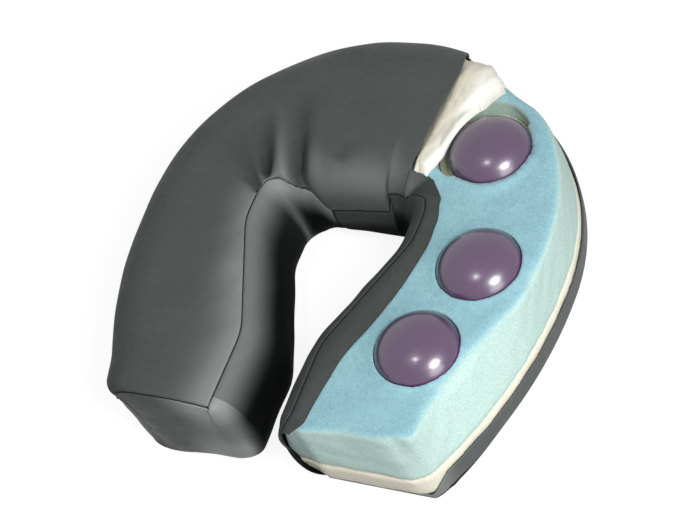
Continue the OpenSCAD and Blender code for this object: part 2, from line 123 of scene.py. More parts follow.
# Quads of a grid of rows by columns, joined up at the ends where asked
def gridFaces(rows, columns, closeColumns=False, flip=False):
    r = np.arange(rows - 1)[:, None]
    c = np.arange(columns if closeColumns else columns - 1)[None, :]
    here, there, nextColumn = r * columns, (r + 1) * columns, (c + 1) % columns
    quads = np.stack([here + c, here + nextColumn, there + nextColumn, there + c], -1).reshape(-1, 4)
    return (quads[:, ::-1] if flip else quads).tolist()


# Normal of a grid: the cross product of its slopes along columns and along rows
def gridNormals(points):
    n = np.cross(np.gradient(points, axis=1), np.gradient(points, axis=0))
    return n / np.maximum(np.linalg.norm(n, axis=2, keepdims=True), 1e-9)


# A grid's normals, turned to the side that way points to, and whether its faces turn with them
def outward(points, way):
    normals = gridNormals(points)
    flip = (normals * way).sum() < 0
    return (-normals if flip else normals), flip


# A cover piece on a grid of points. Its marks: seamShade is how deep in a seam a point lies; the others are
# painted light, one how much highlight is painted into its colour, the other how much shade, most low in the
# opening
def makeSheet(name, points, flip, **marks):
    return makeMesh(name, points, gridFaces(*points.shape[:2], flip=flip), marks=marks)


# 0 to 1 with a level start and end
def smooth(t):
    t = np.clip(t, 0, 1)
    return t * t * (3 - 2 * t)


# 1 at nought, falling off to both sides as a bell
def bell(distance, width):
    return np.exp(-(distance / width) ** 2)


nearSeam = np.array([0, 0.35, 0.7, 1.1, 1.6, 2.2, 3.0, 4.0])  # the finer steps beside a seam


# Walks each line again by its length: even steps, and the finer ones from both ends.
# Gives the points and each one's distance from the line's start and from its end
def resample(lines, spacing):
    steps = np.linalg.norm(np.diff(lines, axis=1), axis=2)
    lengths = np.concatenate([np.zeros((len(lines), 1)), np.cumsum(steps, axis=1)], axis=1)
    total = lengths[:, -1]
    middle = max(4, int(np.median(total) / spacing))
    share = np.linspace(0, 1, middle + 2)[1:-1]
    out, fromStart = [], []
    for line, length, whole in zip(lines, lengths, total):
        edge = nearSeam * min(1, whole / (4 * nearSeam[-1]))
        stops = np.concatenate([edge, edge[-1] + (whole - 2 * edge[-1]) * share, whole - edge[::-1]])
        out.append(np.stack([np.interp(stops, length, line[:, k]) for k in range(3)], -1))
        fromStart.append(stops)
    fromStart = np.array(fromStart)
    return np.array(out), fromStart, total[:, None] - fromStart


# How far along a line of points each one lies
def alongLine(line):
    return np.concatenate([[0], np.cumsum(np.linalg.norm(np.diff(line, axis=0), axis=1))])


# Smooth noise on a grid: sums of sines in slanted directions, about 1 high
def ripple(shape, seed, scale, octaves=3):
    rng = np.random.default_rng(seed)
    x, y = shape
    total = np.zeros(np.broadcast(x, y).shape)
    for k in range(octaves):
        for _ in range(5):
            turn, phase = rng.uniform(0, 2 * np.pi, 2)
            wave = 2 * np.pi * 2 ** k / scale * rng.uniform(0.7, 1.3)
            total += np.sin(wave * (x * np.cos(turn) + y * np.sin(turn)) + phase) / 2 ** k / 4
    return total


plan = {
    "halfWidth": 152.5, "halfLength": 157.5, "armRadius": 315.0, "frontCorner": 14.0,
    "slotHalf": 10.0, "openingHalf": 43.0, "backWall": 22.0, "openingCorner": 15.5,
    "straight": 11.0, "flare": 21.5, "noseRadius": 49.0, "flareRadius": 41.0,
    "cutAngle": 70.0, "cornerAtCut": 43.0,
}
section = {
    "bottom": 1.2, "noseHeight": 27.2, "lowWidth": 20.0, "highWidth": 19.0, "armSeam": 70.5,
    "levelAt": 33.0, "top": 72.0, "crown": 1.6, "outerSeam": 49.0, "outerRoll": 36.0,
}
centreY = plan["halfLength"] - plan["halfWidth"]
frontY = -plan["halfLength"]
armLength = centreY - frontY
armDegrees = 55.0  # the arms' share of the walk round the cushion, beside 90 degrees of the back


# Height of a circle's arc at a distance off its middle
def arcHeight(radius, off):
    return np.sqrt(np.maximum(0, radius ** 2 - off ** 2))


# Half width of the opening: slot, bend, slanted line, bend, straight side
def openingX(y):
    tilt = radians(plan["flare"])
    flareEnd = plan["backWall"] - plan["openingCorner"] - plan["straight"]
    flareX = plan["openingHalf"] - plan["flareRadius"] * (1 - np.cos(tilt))
    flareY = flareEnd - plan["flareRadius"] * np.sin(tilt)
    noseX = plan["slotHalf"] + plan["noseRadius"] * (1 - np.cos(tilt))
    noseY = flareY - (flareX - noseX) / np.tan(tilt)
    slotEnd = noseY - plan["noseRadius"] * np.sin(tilt)
    bend = plan["slotHalf"] + plan["noseRadius"] - arcHeight(plan["noseRadius"], y - slotEnd)
    turn = plan["openingHalf"] - plan["flareRadius"] + arcHeight(plan["flareRadius"], flareEnd - y)
    slant = noseX + (y - noseY) * np.tan(tilt)
    return np.select([y < slotEnd, y < noseY, y < flareY, y < flareEnd],
                     [plan["slotHalf"], bend, slant, turn], plan["openingHalf"])


# Half width of the outside: a long arc, less the front corner's rounding
def outerX(y):
    r = plan["frontCorner"]
    drop = np.where(y < frontY + r, r - arcHeight(r, frontY + r - y), 0)
    side = np.sqrt(plan["armRadius"] ** 2 - (y - centreY) ** 2)
    return plan["halfWidth"] - plan["armRadius"] + side - drop


# For each step of the walk from the left front (-145) over the back (0) to the right front
# (145): the opening's edge, the direction outwards from it, and the width to the outside
def crossLines(walk):
    walk = np.asarray(walk, float)
    side = np.where(walk < 0, -1.0, 1.0)
    q = 90 - np.abs(walk)
    y = centreY + armLength * np.minimum(q, 0) / armDegrees
    a = np.clip(q, 0, 90)
    cut, atCut, r = plan["cutAngle"], plan["cornerAtCut"], plan["openingCorner"]
    pastCut = np.clip(atCut + (90 - atCut) * (a - cut) / 10, 0, 90)
    turn = np.radians(np.where(a < cut, atCut * a / cut, pastCut))
    cornerX, cornerY = plan["openingHalf"] - r, plan["backWall"] - r
    innerX = np.where(a >= cut + 10, cornerX * (90 - a) / (80 - cut), cornerX + r * np.cos(turn))
    innerY = np.where(a >= cut + 10, plan["backWall"], cornerY + r * np.sin(turn))
    arm = q <= 0
    inner = np.stack([side * np.where(arm, openingX(y), innerX), np.where(arm, y, innerY)], -1)
    outer = np.stack([side * np.where(arm, outerX(y), plan["halfWidth"] * np.cos(np.radians(a))),
                      np.where(arm, y, centreY + plan["halfWidth"] * np.sin(np.radians(a)))], -1)
    width = np.linalg.norm(outer - inner, axis=-1)
    return inner, (outer - inner) / width[..., None], width


# The step of the walk at a y along an arm, evenly from the back's end to the front
def walkAtY(y, side=-1):
    return side * (90 + armDegrees * (centreY - np.asarray(y, float)) / armLength)


# Where the seam along the opening runs: its place on the side's upper curve, in degrees, at
# angles round the back. 90 is the top of the arms
seamTurns = {
    "left": ([0, 22, 35, 45, 58, 66, 71, 75, 81.5, 90], [90, 90, 78, 63, 52, 49, 45, 38, 13, 18]),
    "right": ([0, 25, 38, 60, 81, 81.01, 90], [90, 90, 76, 58, 45, 22, 18]),
}


def seamTurn(walk):
    q = np.clip(90 - np.abs(walk), 0, 90)
    left, right = (np.interp(q, *seamTurns[side]) for side in ("left", "right"))
    return np.radians(np.where(walk < 0, left, right))


# Points at a distance along the outward directions, at height z
def place(base, out, along, z):
    xy = base[:, None, :] + out[:, None, :] * along[..., None]
    return np.concatenate([xy, np.broadcast_to(z, along.shape)[..., None]], -1)


cover = {
    "thickness": 1.2, "spacing": 2.2, "seamDepth": 1.2, "seamWidth": 1.15, "frontSeamY": -154.3,
    "cornerSeam": 62.0,  # the outer seam's height at the front corner of the covered arm
    "cornerFrom": -118.0, "cornerOver": 38.0,  # where in y it starts to rise, and over how far
    "cutWalk": 19.2, "cutDrawBack": 5.0, "leftJoint": -8.5, "rightJoint": 9.0,
}
# The front ends: where the seam, the nose and the foot of the walls run in plan
endCorner = {
    "reachX": 20.0, "reachY": 12.5, "seamX": 29.0, "footX": 40.0, "footInX": 30.0, "footY": 5.0,
    "noseY": -158.3, "noseIn": 3.0, "outerNoseX": 90.5, "outerFootX": 87.0, "footOut": 5.5,
    "outerTurnY": -143.5, "chamfer": 1.25,
    "slack": (-6.5, -3.5, -9.0), "spread": (-1.6, -1.4, 0),  # how the right band's cut-off tip falls, splays
}
endStartY = endCorner["noseY"] + endCorner["reachY"]
footFrontY = endStartY - endCorner["footY"]


# How near a seam a point lies: 1 on it
def groove(distance):
    return bell(distance, cover["seamWidth"])


# 0 to 1 towards the covered arm's front corner
def atCoveredCorner(y, walk):
    return smooth((cover["cornerFrom"] - y) / cover["cornerOver"]) * (walk < -90)


# Height of the outer seam: level, and rising to the covered arm's front corner
def outerSeamZ(y, walk):
    return section["outerSeam"] + (cover["cornerSeam"] - section["outerSeam"]) * atCoveredCorner(y, walk)


topColumns = {"up": 60, "flat": 38, "down": 60}  # points of the top panel's section


# The walk at each column of the top panel: it draws back along the outer side near the cut
def topWalks(walk):
    columns = sum(topColumns.values())
    t = np.clip((np.arange(columns) - columns + topColumns["down"]) / topColumns["down"], 0, 1)
    nearCut = bell(cover["cutWalk"] - walk[:, None], 12)
    return walk[:, None] - cover["cutDrawBack"] * smooth(t)[None, :] * nearCut


# Section of the top panel: a quarter ellipse up from the opening's seam, a low crown, and a
# quarter ellipse down to the outer seam. The walk has a column for each of its points
def topLines(walk):
    inner, out, width = crossLines(walk)
    first, last = topColumns["up"], topColumns["up"] + topColumns["flat"]
    s = seamTurn(walk)
    rise = section["armSeam"] - section["noseHeight"]
    seamE, seamZ = section["highWidth"] * (1 - np.cos(s)), section["noseHeight"] + rise * np.sin(s)
    up, down = (np.radians(np.linspace(0, 90, topColumns[k]))[None, :] for k in ("up", "down"))
    levelAt = section["levelAt"]
    y = inner[..., 1]
    deep = section["outerRoll"] * (1 - 0.55 * atCoveredCorner(y, walk))
    low = outerSeamZ(y, walk)
    t = np.linspace(0, 1, topColumns["flat"] + 2)[None, 1:-1]
    e = np.concatenate([levelAt - (levelAt - seamE[:, :first]) * np.cos(up),
                        levelAt + (width - deep - levelAt)[:, first:last] * t,
                        (width - deep)[:, last:] + deep[:, last:] * np.sin(down)], 1)
    z = np.concatenate([seamZ[:, :first] + (section["top"] - seamZ[:, :first]) * np.sin(up),
                        np.full((len(walk), last - first), section["top"]),
                        low[:, last:] + (section["top"] - low[:, last:]) * np.cos(down)], 1)
    z = z + section["crown"] * np.sin(np.pi * np.clip((e - seamE) / (width - seamE), 0, 1)) ** 1.5
    return np.concatenate([inner + out * e[..., None], z[..., None]], -1)


# Image points, in the photograph's 700 x 525 frame: each crease runs from one to the next
imagePoints = {
    "left": (108.5, 385), "right": (586, 240), "top": (390, 40), "bottom": (441, 497.5),
    "ballBack": (490, 150.5), "ballMiddle": (478.5, 265.5), "ballFront": (417, 348),
    "seamCorner": (208, 408), "seamJoint": (334, 212), "ridgeStart": (424, 200), "tip": (279, 433),
    "creaseNear": (273, 183), "creaseNearEnd": (262, 118), "creaseMiddle": (301, 182), "creaseMiddleEnd": (300, 96),
    "creaseLeft": (257, 187), "creaseLeftEnd": (232, 132), "creaseFar": (337, 158), "creaseFarEnd": (349, 137),
}
frameSize = (700, 525)
cameraTurn = cameraAxes(photoCamera)


# The ray of an image point against a surface; a miss takes the surface's place nearest the ray
def onSurface(tree, point):
    w, h = frameSize
    away = max(w, h) * photoCamera["lens"] / photoCamera["sensor"]
    ray = cameraTurn @ np.array([point[0] - w / 2, h / 2 - point[1], -away])
    ray /= np.linalg.norm(ray)
    start = Vector(photoCamera["place"])
    hit = tree.ray_cast(start, Vector(ray))[0]
    if hit is None:
        hit = tree.find_nearest(start + Vector(ray) * start.length)[0]
    return np.array(hit)


# Creases drawn in by the seam's bend: depth (a ridge where negative) and width at each end
creaseShapes = {
    "creaseNear": (8.6, 3.4, 10.0), "creaseMiddle": (8.0, 3.4, 11.0),
    "creaseLeft": (5.0, 3.6, 11.0), "creaseFar": (2.0, 6.5, 11.0),
}
ridgeShape = (-4.2, 4.5, 10.0)  # the ridge between the first two


def buildCreases(surface):
    tree = BVHTree.FromPolygons(surface.reshape(-1, 3).tolist(), gridFaces(*surface.shape[:2]))
    lines = []
    for name, shape in creaseShapes.items():
        start, end = (onSurface(tree, imagePoints[key]) for key in (name, name + "End"))
        lines.append((start[:2], end[:2], *shape))
    near, middle = lines[0], lines[1]
    lines.append(((near[0] + middle[0]) / 2, (near[1] + middle[1]) / 2, *ridgeShape))
    return lines


# Depth of the creases at a point of the plan: each is a bell across its line, deepest near the
# seam and fading to the far end
def creaseDepth(x, y, lines):
    depth = np.zeros_like(x)
    for start, end, deep, near, far in lines:
        along = end - start
        length = np.linalg.norm(along)
        t = ((x - start[0]) * along[0] + (y - start[1]) * along[1]) / length ** 2
        off = ((x - start[0]) * along[1] - (y - start[1]) * along[0]) / length
        wide = near + (far - near) * np.clip(t, 0, 1)
        depth += deep * bell(off, wide) * smooth((t + 0.2) / 0.3) * np.clip(1.15 - t, 0, 1) ** 0.9
    return depth


topPanel = {
    "frontSteps": [0, 0.4, 0.8, 1.3, 1.9, 2.7, 3.7, 5.0, 6.6],  # from the front seam, before the even ones
    "walkStep": 0.8, "uneven": 0.5, "broad": 0.9, "armWave": 1.5, "seamRipple": 0.4,
    "frontSag": (0, 0, -1.4), "frontSagOver": 2.6, "frontSeamIn": (0, 1.0, -1.3),
    # Painted light: how much highlight is painted on the arms' and the front's inner roll, on the back's roll and
    # on the crease ridges, and how much shade on the outer side and in the creases
    "armHighlight": 0.47, "frontHighlight": 0.22, "backHighlight": 0.35, "crestHighlight": 0.3,
    "sideShade": 0.24, "creaseShade": 0.45,
}


# The covered part's top, from the left front end over the back to the diagonal cut: the section's
# lines, swelled along their normals by soft noise and drawn in at the seams and creases
def buildTopPanel():
    fromFront = np.concatenate([topPanel["frontSteps"], np.arange(8.6, 158, cover["spacing"])])
    walk = np.concatenate([walkAtY(cover["frontSeamY"] + fromFront),
                           np.arange(-90, cover["cutWalk"], topPanel["walkStep"]), [cover["cutWalk"]]])
    walks = topWalks(walk)
    lines = topLines(walks)
    creases = buildCreases(lines[:, ::4])
    points, fromInner, fromOuter = resample(lines, cover["spacing"])
    walk, x, y = walk[:, None], points[..., 0], points[..., 1]
    normals, flip = outward(points, (0, 0, 1))
    soft = topPanel["uneven"] * ripple((x, y), 3, 70, 2) + topPanel["broad"] * ripple((x, y), 8, 160, 1)
    armWave = topPanel["armWave"] * ripple((y, 0.35 * x), 4, 36, 1)
    soft = soft + armWave * bell(fromInner - 18, 18) * smooth((-60 - walk) / 30)
    wave = topPanel["seamRipple"] * ripple((x, y), 5, 17, 2) * bell(fromInner, 9)
    depth = creaseDepth(x, y, creases)
    fade = smooth(np.minimum(fromInner, fromOuter) / 14)
    swell = soft * fade + wave * smooth(fromInner / 3) - depth * smooth((fromInner + 2) / 7)
    points = points + normals * swell[..., None]
    points = points - normals * (cover["seamDepth"] * (groove(fromInner) + groove(fromOuter)))[..., None]
    front, sharp = np.zeros((2, len(walk), 1))
    front[:len(fromFront), 0] = bell(fromFront, topPanel["frontSagOver"])
    sharp[:len(fromFront), 0] = groove(fromFront)
    drop = front[..., None] * np.array(topPanel["frontSag"])
    drop = drop + sharp[..., None] * np.array(topPanel["frontSeamIn"])
    points = points + drop * smooth((fromInner + 2.5) / 4)[..., None]
    shade = np.maximum(np.maximum(groove(fromInner), groove(fromOuter)), sharp)
    # Painted highlight along the inner roll, strongest on the arm, over the back's roll and on the crease ridges,
    # and less in the creases; painted shade on the outer side and in the creases
    fromSeam = fromInner + 15 * smooth((walk - cover["rightJoint"] + 6) / 14)
    front = smooth((-95 - walk) / 20)
    onArm = smooth((-30 - walk) / 28) * (topPanel["armHighlight"] + topPanel["frontHighlight"] * front)
    rubbed = onArm * bell(fromInner, 13 + 6 * front)
    rubbed = rubbed + topPanel["backHighlight"] * bell(walk - 2, 17) * bell(fromSeam - 27, 13)
    away = topPanel["sideShade"] * smooth((44 - fromOuter) / 40) * smooth((-20 - walk) / 40)
    crest = np.clip(-depth / 4, 0, 1) * smooth(fromInner / 5)
    cleft = np.clip(depth / 7, 0, 1) * smooth(fromInner / 3)
    rubbed = np.clip(rubbed + topPanel["crestHighlight"] * crest - 0.5 * cleft, 0, 1)
    piece = makeSheet("coverTopPanel", points, flip, seamShade=shade, rubbed=rubbed,
                      sunk=np.maximum(away, topPanel["creaseShade"] * cleft))
    return piece, points, walks, creases


# Section of a band: a quarter ellipse from its foot out to its nose, and part of another from there
# up to its seam, topTurn round
def bandLines(nose, high, low, topTurn, noseZ, bottomZ, topZ, steps=34):
    a = np.radians(np.linspace(-90, 0, steps))[None, :-1]
    b = np.linspace(0, 1, steps)[None, :] * np.broadcast_to(topTurn, len(nose))[:, None]

    def lean(to, turn):
        return nose[:, None, :] + (to - nose)[:, None, :] * (1 - np.cos(turn))[..., None]

    column = [np.broadcast_to(v, len(nose))[:, None] for v in (noseZ, bottomZ, topZ)]
    under = np.concatenate([lean(low, a), (column[0] + (column[0] - column[1]) * np.sin(a))[..., None]], -1)
    over = np.concatenate([lean(high, b), (column[0] + (column[2] - column[0]) * np.sin(b))[..., None]], -1)
    return np.concatenate([under, over], 1)


bandHeights = [section[height] for height in ("noseHeight", "bottom", "armSeam")]


# The opening's wall at each step of the walk
def wallBand(walk):
    inner, out, _ = crossLines(walk)
    high, low = (inner + out * section[width] for width in ("highWidth", "lowWidth"))
    return bandLines(inner, high, low, seamTurn(walk), *bandHeights)


# The band round an inner front corner: its nose turns on a quarter ellipse while its seam comes
# to a point
def cornerBand(turns, side):
    t = np.radians(turns)
    nose = np.stack([side * (plan["slotHalf"] + endCorner["reachX"] * (1 - np.sin(t))),
                     endStartY - endCorner["reachY"] * np.cos(t)], -1)
    high = np.stack([np.full(len(t), side * endCorner["seamX"]),
                     cover["frontSeamY"] + (endStartY - cover["frontSeamY"]) * t / (np.pi / 2)], -1)
    low = np.stack([side * (endCorner["footX"] - (endCorner["footX"] - endCorner["footInX"]) * np.sin(t)),
                    endStartY - endCorner["footY"] * np.cos(t)], -1)
    return bandLines(nose, high, low, np.pi / 2, *bandHeights)


# The covered arm's front end, under each point of the top panel's front edge: a wall that stands
# out a little at its nose and turns in at its foot
def endBand(edge):
    t = alongLine(edge)
    t = t / t[-1]
    cornerX = -(plan["slotHalf"] + endCorner["reachX"])
    noseX = endCorner["outerNoseX"]
    noseY = endCorner["noseY"] - 1.0 * np.sin(np.pi * t) + endCorner["noseIn"] * (1 - t) ** 6
    nose = np.stack([-noseX + (cornerX + noseX) * t, noseY], -1)
    low = np.stack([-endCorner["outerFootX"] + (endCorner["outerFootX"] - endCorner["footX"]) * t,
                    footFrontY - endCorner["footOut"] * (1 - smooth(1.15 * t))], -1)
    return bandLines(nose, edge[:, :2], low, np.pi / 2, *bandHeights[:2], edge[:, 2])


# How far the outer side's foot stands in: tucked under at the covered arm's front, a little out
# beside the cut one's
def footIn(walk, y):
    front = smooth((-92 - y) / 45)
    return 1.0 + front * np.where(walk < -90, 9.5, np.where(walk > 90, -2.2, 0))


outerNose = 0.4  # how far the outer side stands out at its widest


# The outer side at each step of the walk, and round the covered arm's front corner
def outerLines(walk, corner=0):
    inner, out, width = crossLines(walk)
    noseIn = 4.5 * smooth((-105 - inner[:, 1]) / 38) * (walk < -90)
    stands = (outerNose - noseIn, 0.0, -footIn(walk, inner[:, 1]))
    nose, high, low = (inner + out * (width + stand)[:, None] for stand in stands)
    topZ = outerSeamZ(inner[:, 1], walk)
    if corner:
        t = np.radians(np.linspace(90, 0, corner, endpoint=False))
        ahead = cover["frontSeamY"] - endCorner["outerTurnY"]
        walkCorner = walkAtY(endCorner["outerTurnY"] + ahead * np.sin(t))
        innerC, outC, widthC = crossLines(walkCorner)
        highC = innerC + outC * widthC[:, None]

        def arc(first, last):
            across, ahead = np.cos(t) ** endCorner["chamfer"], np.sin(t) ** endCorner["chamfer"]
            return np.stack([last[0] + (first[0] - last[0]) * across,
                             first[1] + (last[1] - first[1]) * ahead], -1)

        frontNose = (-endCorner["outerNoseX"], endCorner["noseY"] + endCorner["noseIn"])
        frontFoot = (-endCorner["outerFootX"], footFrontY - endCorner["footOut"])
        nose = np.concatenate([arc(nose[0], frontNose), nose])
        low = np.concatenate([arc(low[0], frontFoot), low])
        high = np.concatenate([highC, high])
        topZ = np.concatenate([outerSeamZ(highC[:, 1], walkCorner), topZ])
        walk = np.concatenate([walkCorner, walk])
    return walk, bandLines(nose, high, low, np.pi / 2, section["noseHeight"] - 3, section["bottom"], topZ)


# A band's finish: even steps, soft waves, seams drawn in at its foot, top and ends, and its top edge brought to the
# edge that it is sewn to. Shade is painted in below the seam where the band lies inside the opening, and highlight
# along its top roll
def finishBand(name, lines, seed, target=None, ends=(False, False), folds=0.3, inside=0, highlightAmount=0, least=0):
    points, fromFoot, fromTop = resample(lines, cover["spacing"])
    normals, flip = outward(points, np.sign(points[..., 2:] - section["noseHeight"]) * (0, 0, 1))
    run = alongLine(points[:, points.shape[1] // 2])[:, None]
    along, height = run + 0 * fromFoot, points[..., 2]
    shade = np.maximum(groove(fromTop), groove(fromFoot))
    for at, sewn in ((run, ends[0]), (run[-1] - run, ends[1])):
        if sewn:
            shade = np.maximum(shade, groove(at))
    soft = 0.5 * ripple((along, height * 1.5), seed, 46, 2) * smooth(np.minimum(fromTop, fromFoot) / 12)
    wave = folds * ripple((along, height * 0.25), seed + 1, 15, 2) * bell(fromTop, 8)
    points = points + normals * (soft + wave - cover["seamDepth"] * shade)[..., None]
    if target is not None:
        points = points + (target - points[:, -1])[:, None, :] * (1 - smooth(fromTop / 4))[..., None]
    # Painted shade, deeper down from the seam inside the opening and never under least, and painted highlight along
    # the top roll and low on the front corner
    inside, highlightAmount = (np.broadcast_to(value, len(points))[:, None] for value in (inside, highlightAmount))
    depth = smooth((points[:, -1:, 2] - 1 - points[..., 2]) / 23)
    low = 1.3 * bell(points[..., 2] - 14, 22) * np.clip(1 - inside, 0, 1) ** 3
    rubbed = np.clip(highlightAmount * (bell(fromTop, 10 + 12 * highlightAmount) + low), 0, 1)
    sunk = np.maximum(inside * depth, least)
    return makeSheet(name, points, flip, seamShade=shade, sunk=sunk, rubbed=rubbed), points


# Points of a panel's edge at other steps of the walk
def edgeAt(edge, edgeWalk, walk):
    order = np.argsort(edgeWalk)
    return np.stack([np.interp(walk, edgeWalk[order], edge[order, k]) for k in range(3)], -1)


bands = {
    "walkStep": 0.8,
    "wrap": 11,  # how many of the front corner's lines the end panel takes in before its seam
    # Painted highlight on the front corner and along the walls, and the least painted shade on the back and right
    # walls
    "leftFolds": 0.35, "rightFolds": 0.2, "cornerHighlight": 0.95, "wallHighlight": (0.4, 0.4), "backShade": 0.3,
    "seamSteps": np.array([0, 0.3, 0.6, 0.9, 1.2]),  # in walk, beside a joint
}


# The end panel, its inner corner and the left wall, as one band
def buildLeftBand(top, walks, sideLines, sideTarget):
    turns = np.arange(4, 90, 4.0)
    cornerWalk = walkAtY(cover["frontSeamY"] + (endStartY - cover["frontSeamY"]) * turns / 90)
    wallWalk = np.arange(float(walkAtY(endStartY)), cover["leftJoint"] - 1.5, bands["walkStep"])
    wallWalk = np.concatenate([wallWalk, cover["leftJoint"] - bands["seamSteps"][::-1]])
    edge, wrapped = top[0, ::-1], slice(bands["wrap"], 0, -1)
    lines = np.concatenate([sideLines[wrapped], endBand(edge), cornerBand(turns, -1), wallBand(wallWalk)])
    target = np.concatenate([sideTarget[wrapped], edge, edgeAt(top[:, 0], walks[:, 0], cornerWalk),
                             edgeAt(top[:, 0], walks[:, 0], wallWalk)])
    atEnd = np.linspace(0, 1, len(edge))
    # How much shade is painted in along the band, none on its end, and how much highlight, more on the corner and
    # the bend
    inside = np.concatenate([np.zeros(bands["wrap"] + len(edge)), smooth((turns - 35) / 60),
                             1 - 0.75 * bell(wallWalk + 63, 20)])
    plain, crest = bands["wallHighlight"]
    highlightAmount = np.concatenate([np.zeros(bands["wrap"]), smooth((atEnd - 0.42) / 0.45),
                            np.full(len(turns), bands["cornerHighlight"]),
                            plain + crest * bell(wallWalk + 61, 21)])
    piece, _ = finishBand("coverInnerBandLeft", lines, 11, target, (True, True), bands["leftFolds"],
                          inside, highlightAmount)
    return piece


# The opening's back wall, between both joints
def buildBackBand(top, walks):
    start, end, near = cover["leftJoint"], cover["rightJoint"], bands["seamSteps"]
    walk = np.concatenate([start + near, np.linspace(start + 1.8, end - 1.8, 24), end - near[::-1]])
    target = edgeAt(top[:, 0], walks[:, 0], walk)
    piece, _ = finishBand("coverInnerBandBack", wallBand(walk), 21, target, (True, True),
                          inside=1, least=bands["backShade"])
    return piece


# The right wall and its corner. It is sewn to the top panel up to the cut, and beyond it the edge
# settles to its own line and the tip falls slack
def buildRightBand(top, walks):
    walk = np.arange(cover["rightJoint"] + 1.8, float(walkAtY(endStartY, 1)), bands["walkStep"])
    walk = np.concatenate([cover["rightJoint"] + bands["seamSteps"], walk])
    turns = np.arange(86, 8, -4.0)
    lines = np.concatenate([wallBand(walk), cornerBand(turns, 1)])
    slack = np.concatenate([0 * walk, smooth((62 - turns) / 54)])[:, None]
    slack = slack * smooth((lines[..., 2] - 33) / 36)
    lines += slack[..., None] * np.array(endCorner["slack"])
    spread = np.concatenate([0 * walk, smooth((80 - turns) / 60)])[:, None] * smooth(lines[..., 2] / 14)
    lines += spread[..., None] * np.array(endCorner["spread"])
    target = np.full((len(lines), 3), np.nan)
    sewn = np.flatnonzero(walk <= cover["cutWalk"])
    last = sewn[-1]
    target[sewn] = edgeAt(top[:, 0], walks[:, 0], walk[sewn])
    drawn = target[last] - lines[last, -1]
    settle = np.exp(-(np.arange(len(lines)) - last) / 14.0)[:, None]
    settle = settle * drawn + (1 - settle) * [0, 0, min(0, drawn[2])]
    target = np.where(np.isnan(target), lines[:, -1] + settle, target)
    piece, points = finishBand("coverInnerBandRight", lines, 31, target, (True, False), bands["rightFolds"],
                               inside=1, least=bands["backShade"])
    return piece, walk, points


# The top panel and the four bands that are sewn to its edges
def buildCover():
    topPiece, top, walks, creases = buildTopPanel()
    outerEnd = float(walks[:, -1].max())
    outerWalk = np.append(np.arange(float(walkAtY(endCorner["outerTurnY"])), outerEnd, 1.0), outerEnd)
    outerWalk, sideLines = outerLines(outerWalk, corner=16)
    sideTarget = edgeAt(top[:, -1], walks[:, -1], outerWalk)
    leftBand = buildLeftBand(top, walks, sideLines, sideTarget)
    backBand = buildBackBand(top, walks)
    rightBand, rightWalk, right = buildRightBand(top, walks)
    wrap = bands["wrap"]
    outerBand, _ = finishBand("coverOuterBand", sideLines[wrap:], 41, sideTarget[wrap:], (True, False))
    return [topPiece, leftBand, backBand, rightBand, outerBand], (rightWalk, right, top[-1]), creases


margin = {
    "walks": [19, 40, 55, 70, 90, 97, 108, 121, 129, 137, 142, 147],
    "widths": [19, 18, 12.5, 7.5, 8, 9, 15.5, 17, 13, 8.5, 7, 8], "foamTop": 64.0, "lift": 0.7, "arch": 0.6,
    "cutWidth": 22.0,  # its width on the cut's own curve
    "settle": 20.0,  # the walk over which it comes down to the foam
}


# The strip of the top panel left along the right ridge seam: it carries on the panel's section
# at the cut and comes down to the foam, with a loosely waving cut edge
def buildMargin(rightWalk, right, cutRow):
    onWall = rightWalk >= cover["cutWalk"] - 0.8
    kept = np.append(onWall, np.ones(len(right) - len(rightWalk), bool))
    start = right[kept][:, -1]
    walk = np.append(rightWalk[onWall], walkAtY(start[-(len(right) - len(rightWalk)):, 1], 1))
    out = crossLines(walk)[1]
    wide = np.interp(walk, margin["walks"], margin["widths"])
    wide = np.convolve(np.pad(wide, 5, "edge"), np.ones(11) / 11, "valid")
    wide = wide * (1 + 0.02 * ripple((walk * 2.2, 0 * walk), 51, 30, 2))
    t = np.linspace(0, 1, 16)[None, :]
    tip = smooth((walk - 139) / 8)
    uneven = 0.4 * np.abs(ripple((walk * 2.2, 0 * walk), 53, 26, 2))
    edge = margin["foamTop"] + margin["lift"] - 2.6 * tip + uneven
    arch = (margin["arch"] + 1.2 * tip[:, None]) * np.sin(np.pi * t)
    z = edge[:, None] + (start[:, 2:3] - edge[:, None]) * (1 - t ** 2.2) + arch
    xy = start[:, None, :2] + out[:, None, :] * (wide[:, None] * t)[..., None]
    points = np.concatenate([xy, z[..., None]], -1)
    length = alongLine(cutRow)
    atCut = np.stack([np.interp(t[0] * margin["cutWidth"], length, cutRow[:, k]) for k in range(3)], -1)
    settle = 1 - smooth((walk - walk[0]) / margin["settle"])
    points += settle[:, None, None] * (atCut - points[0])[None]
    shade = 0.7 * groove(wide[:, None] * t)
    _, flip = outward(points, (0, 0, 1))
    # The strip is painted darker towards the front, as shade
    return makeSheet("coverMarginRight", points, flip, seamShade=shade,
                     sunk=0.4 * smooth((walk - 24) / 20)[:, None] + 0 * shade)


remnant = {
    "height": 16.0, "frontHeight": 4.0, "riseAtCut": 30.0,
    "footY": -154.4, "cornerRound": 3.5, "endX": 33.0,
}


# The cut-away arm's front corner in plan, on from the side: a parabola that meets both the side
# and the front at their own directions
def remnantCorner(stand, y):
    inner, out, width = crossLines(walkAtY(endCorner["outerTurnY"] + np.array([2.0, 0.0]), 1))
    side = inner + out * (width + stand)[:, None]
    ahead = side[1] - side[0]
    corner = side[1] + ahead * (y - side[1, 1]) / ahead[1]
    t = np.linspace(0, 1, 18)[1:, None]
    end = corner - [remnant["cornerRound"], 0]
    return (1 - t) ** 2 * side[1] + 2 * t * (1 - t) * corner + t ** 2 * end


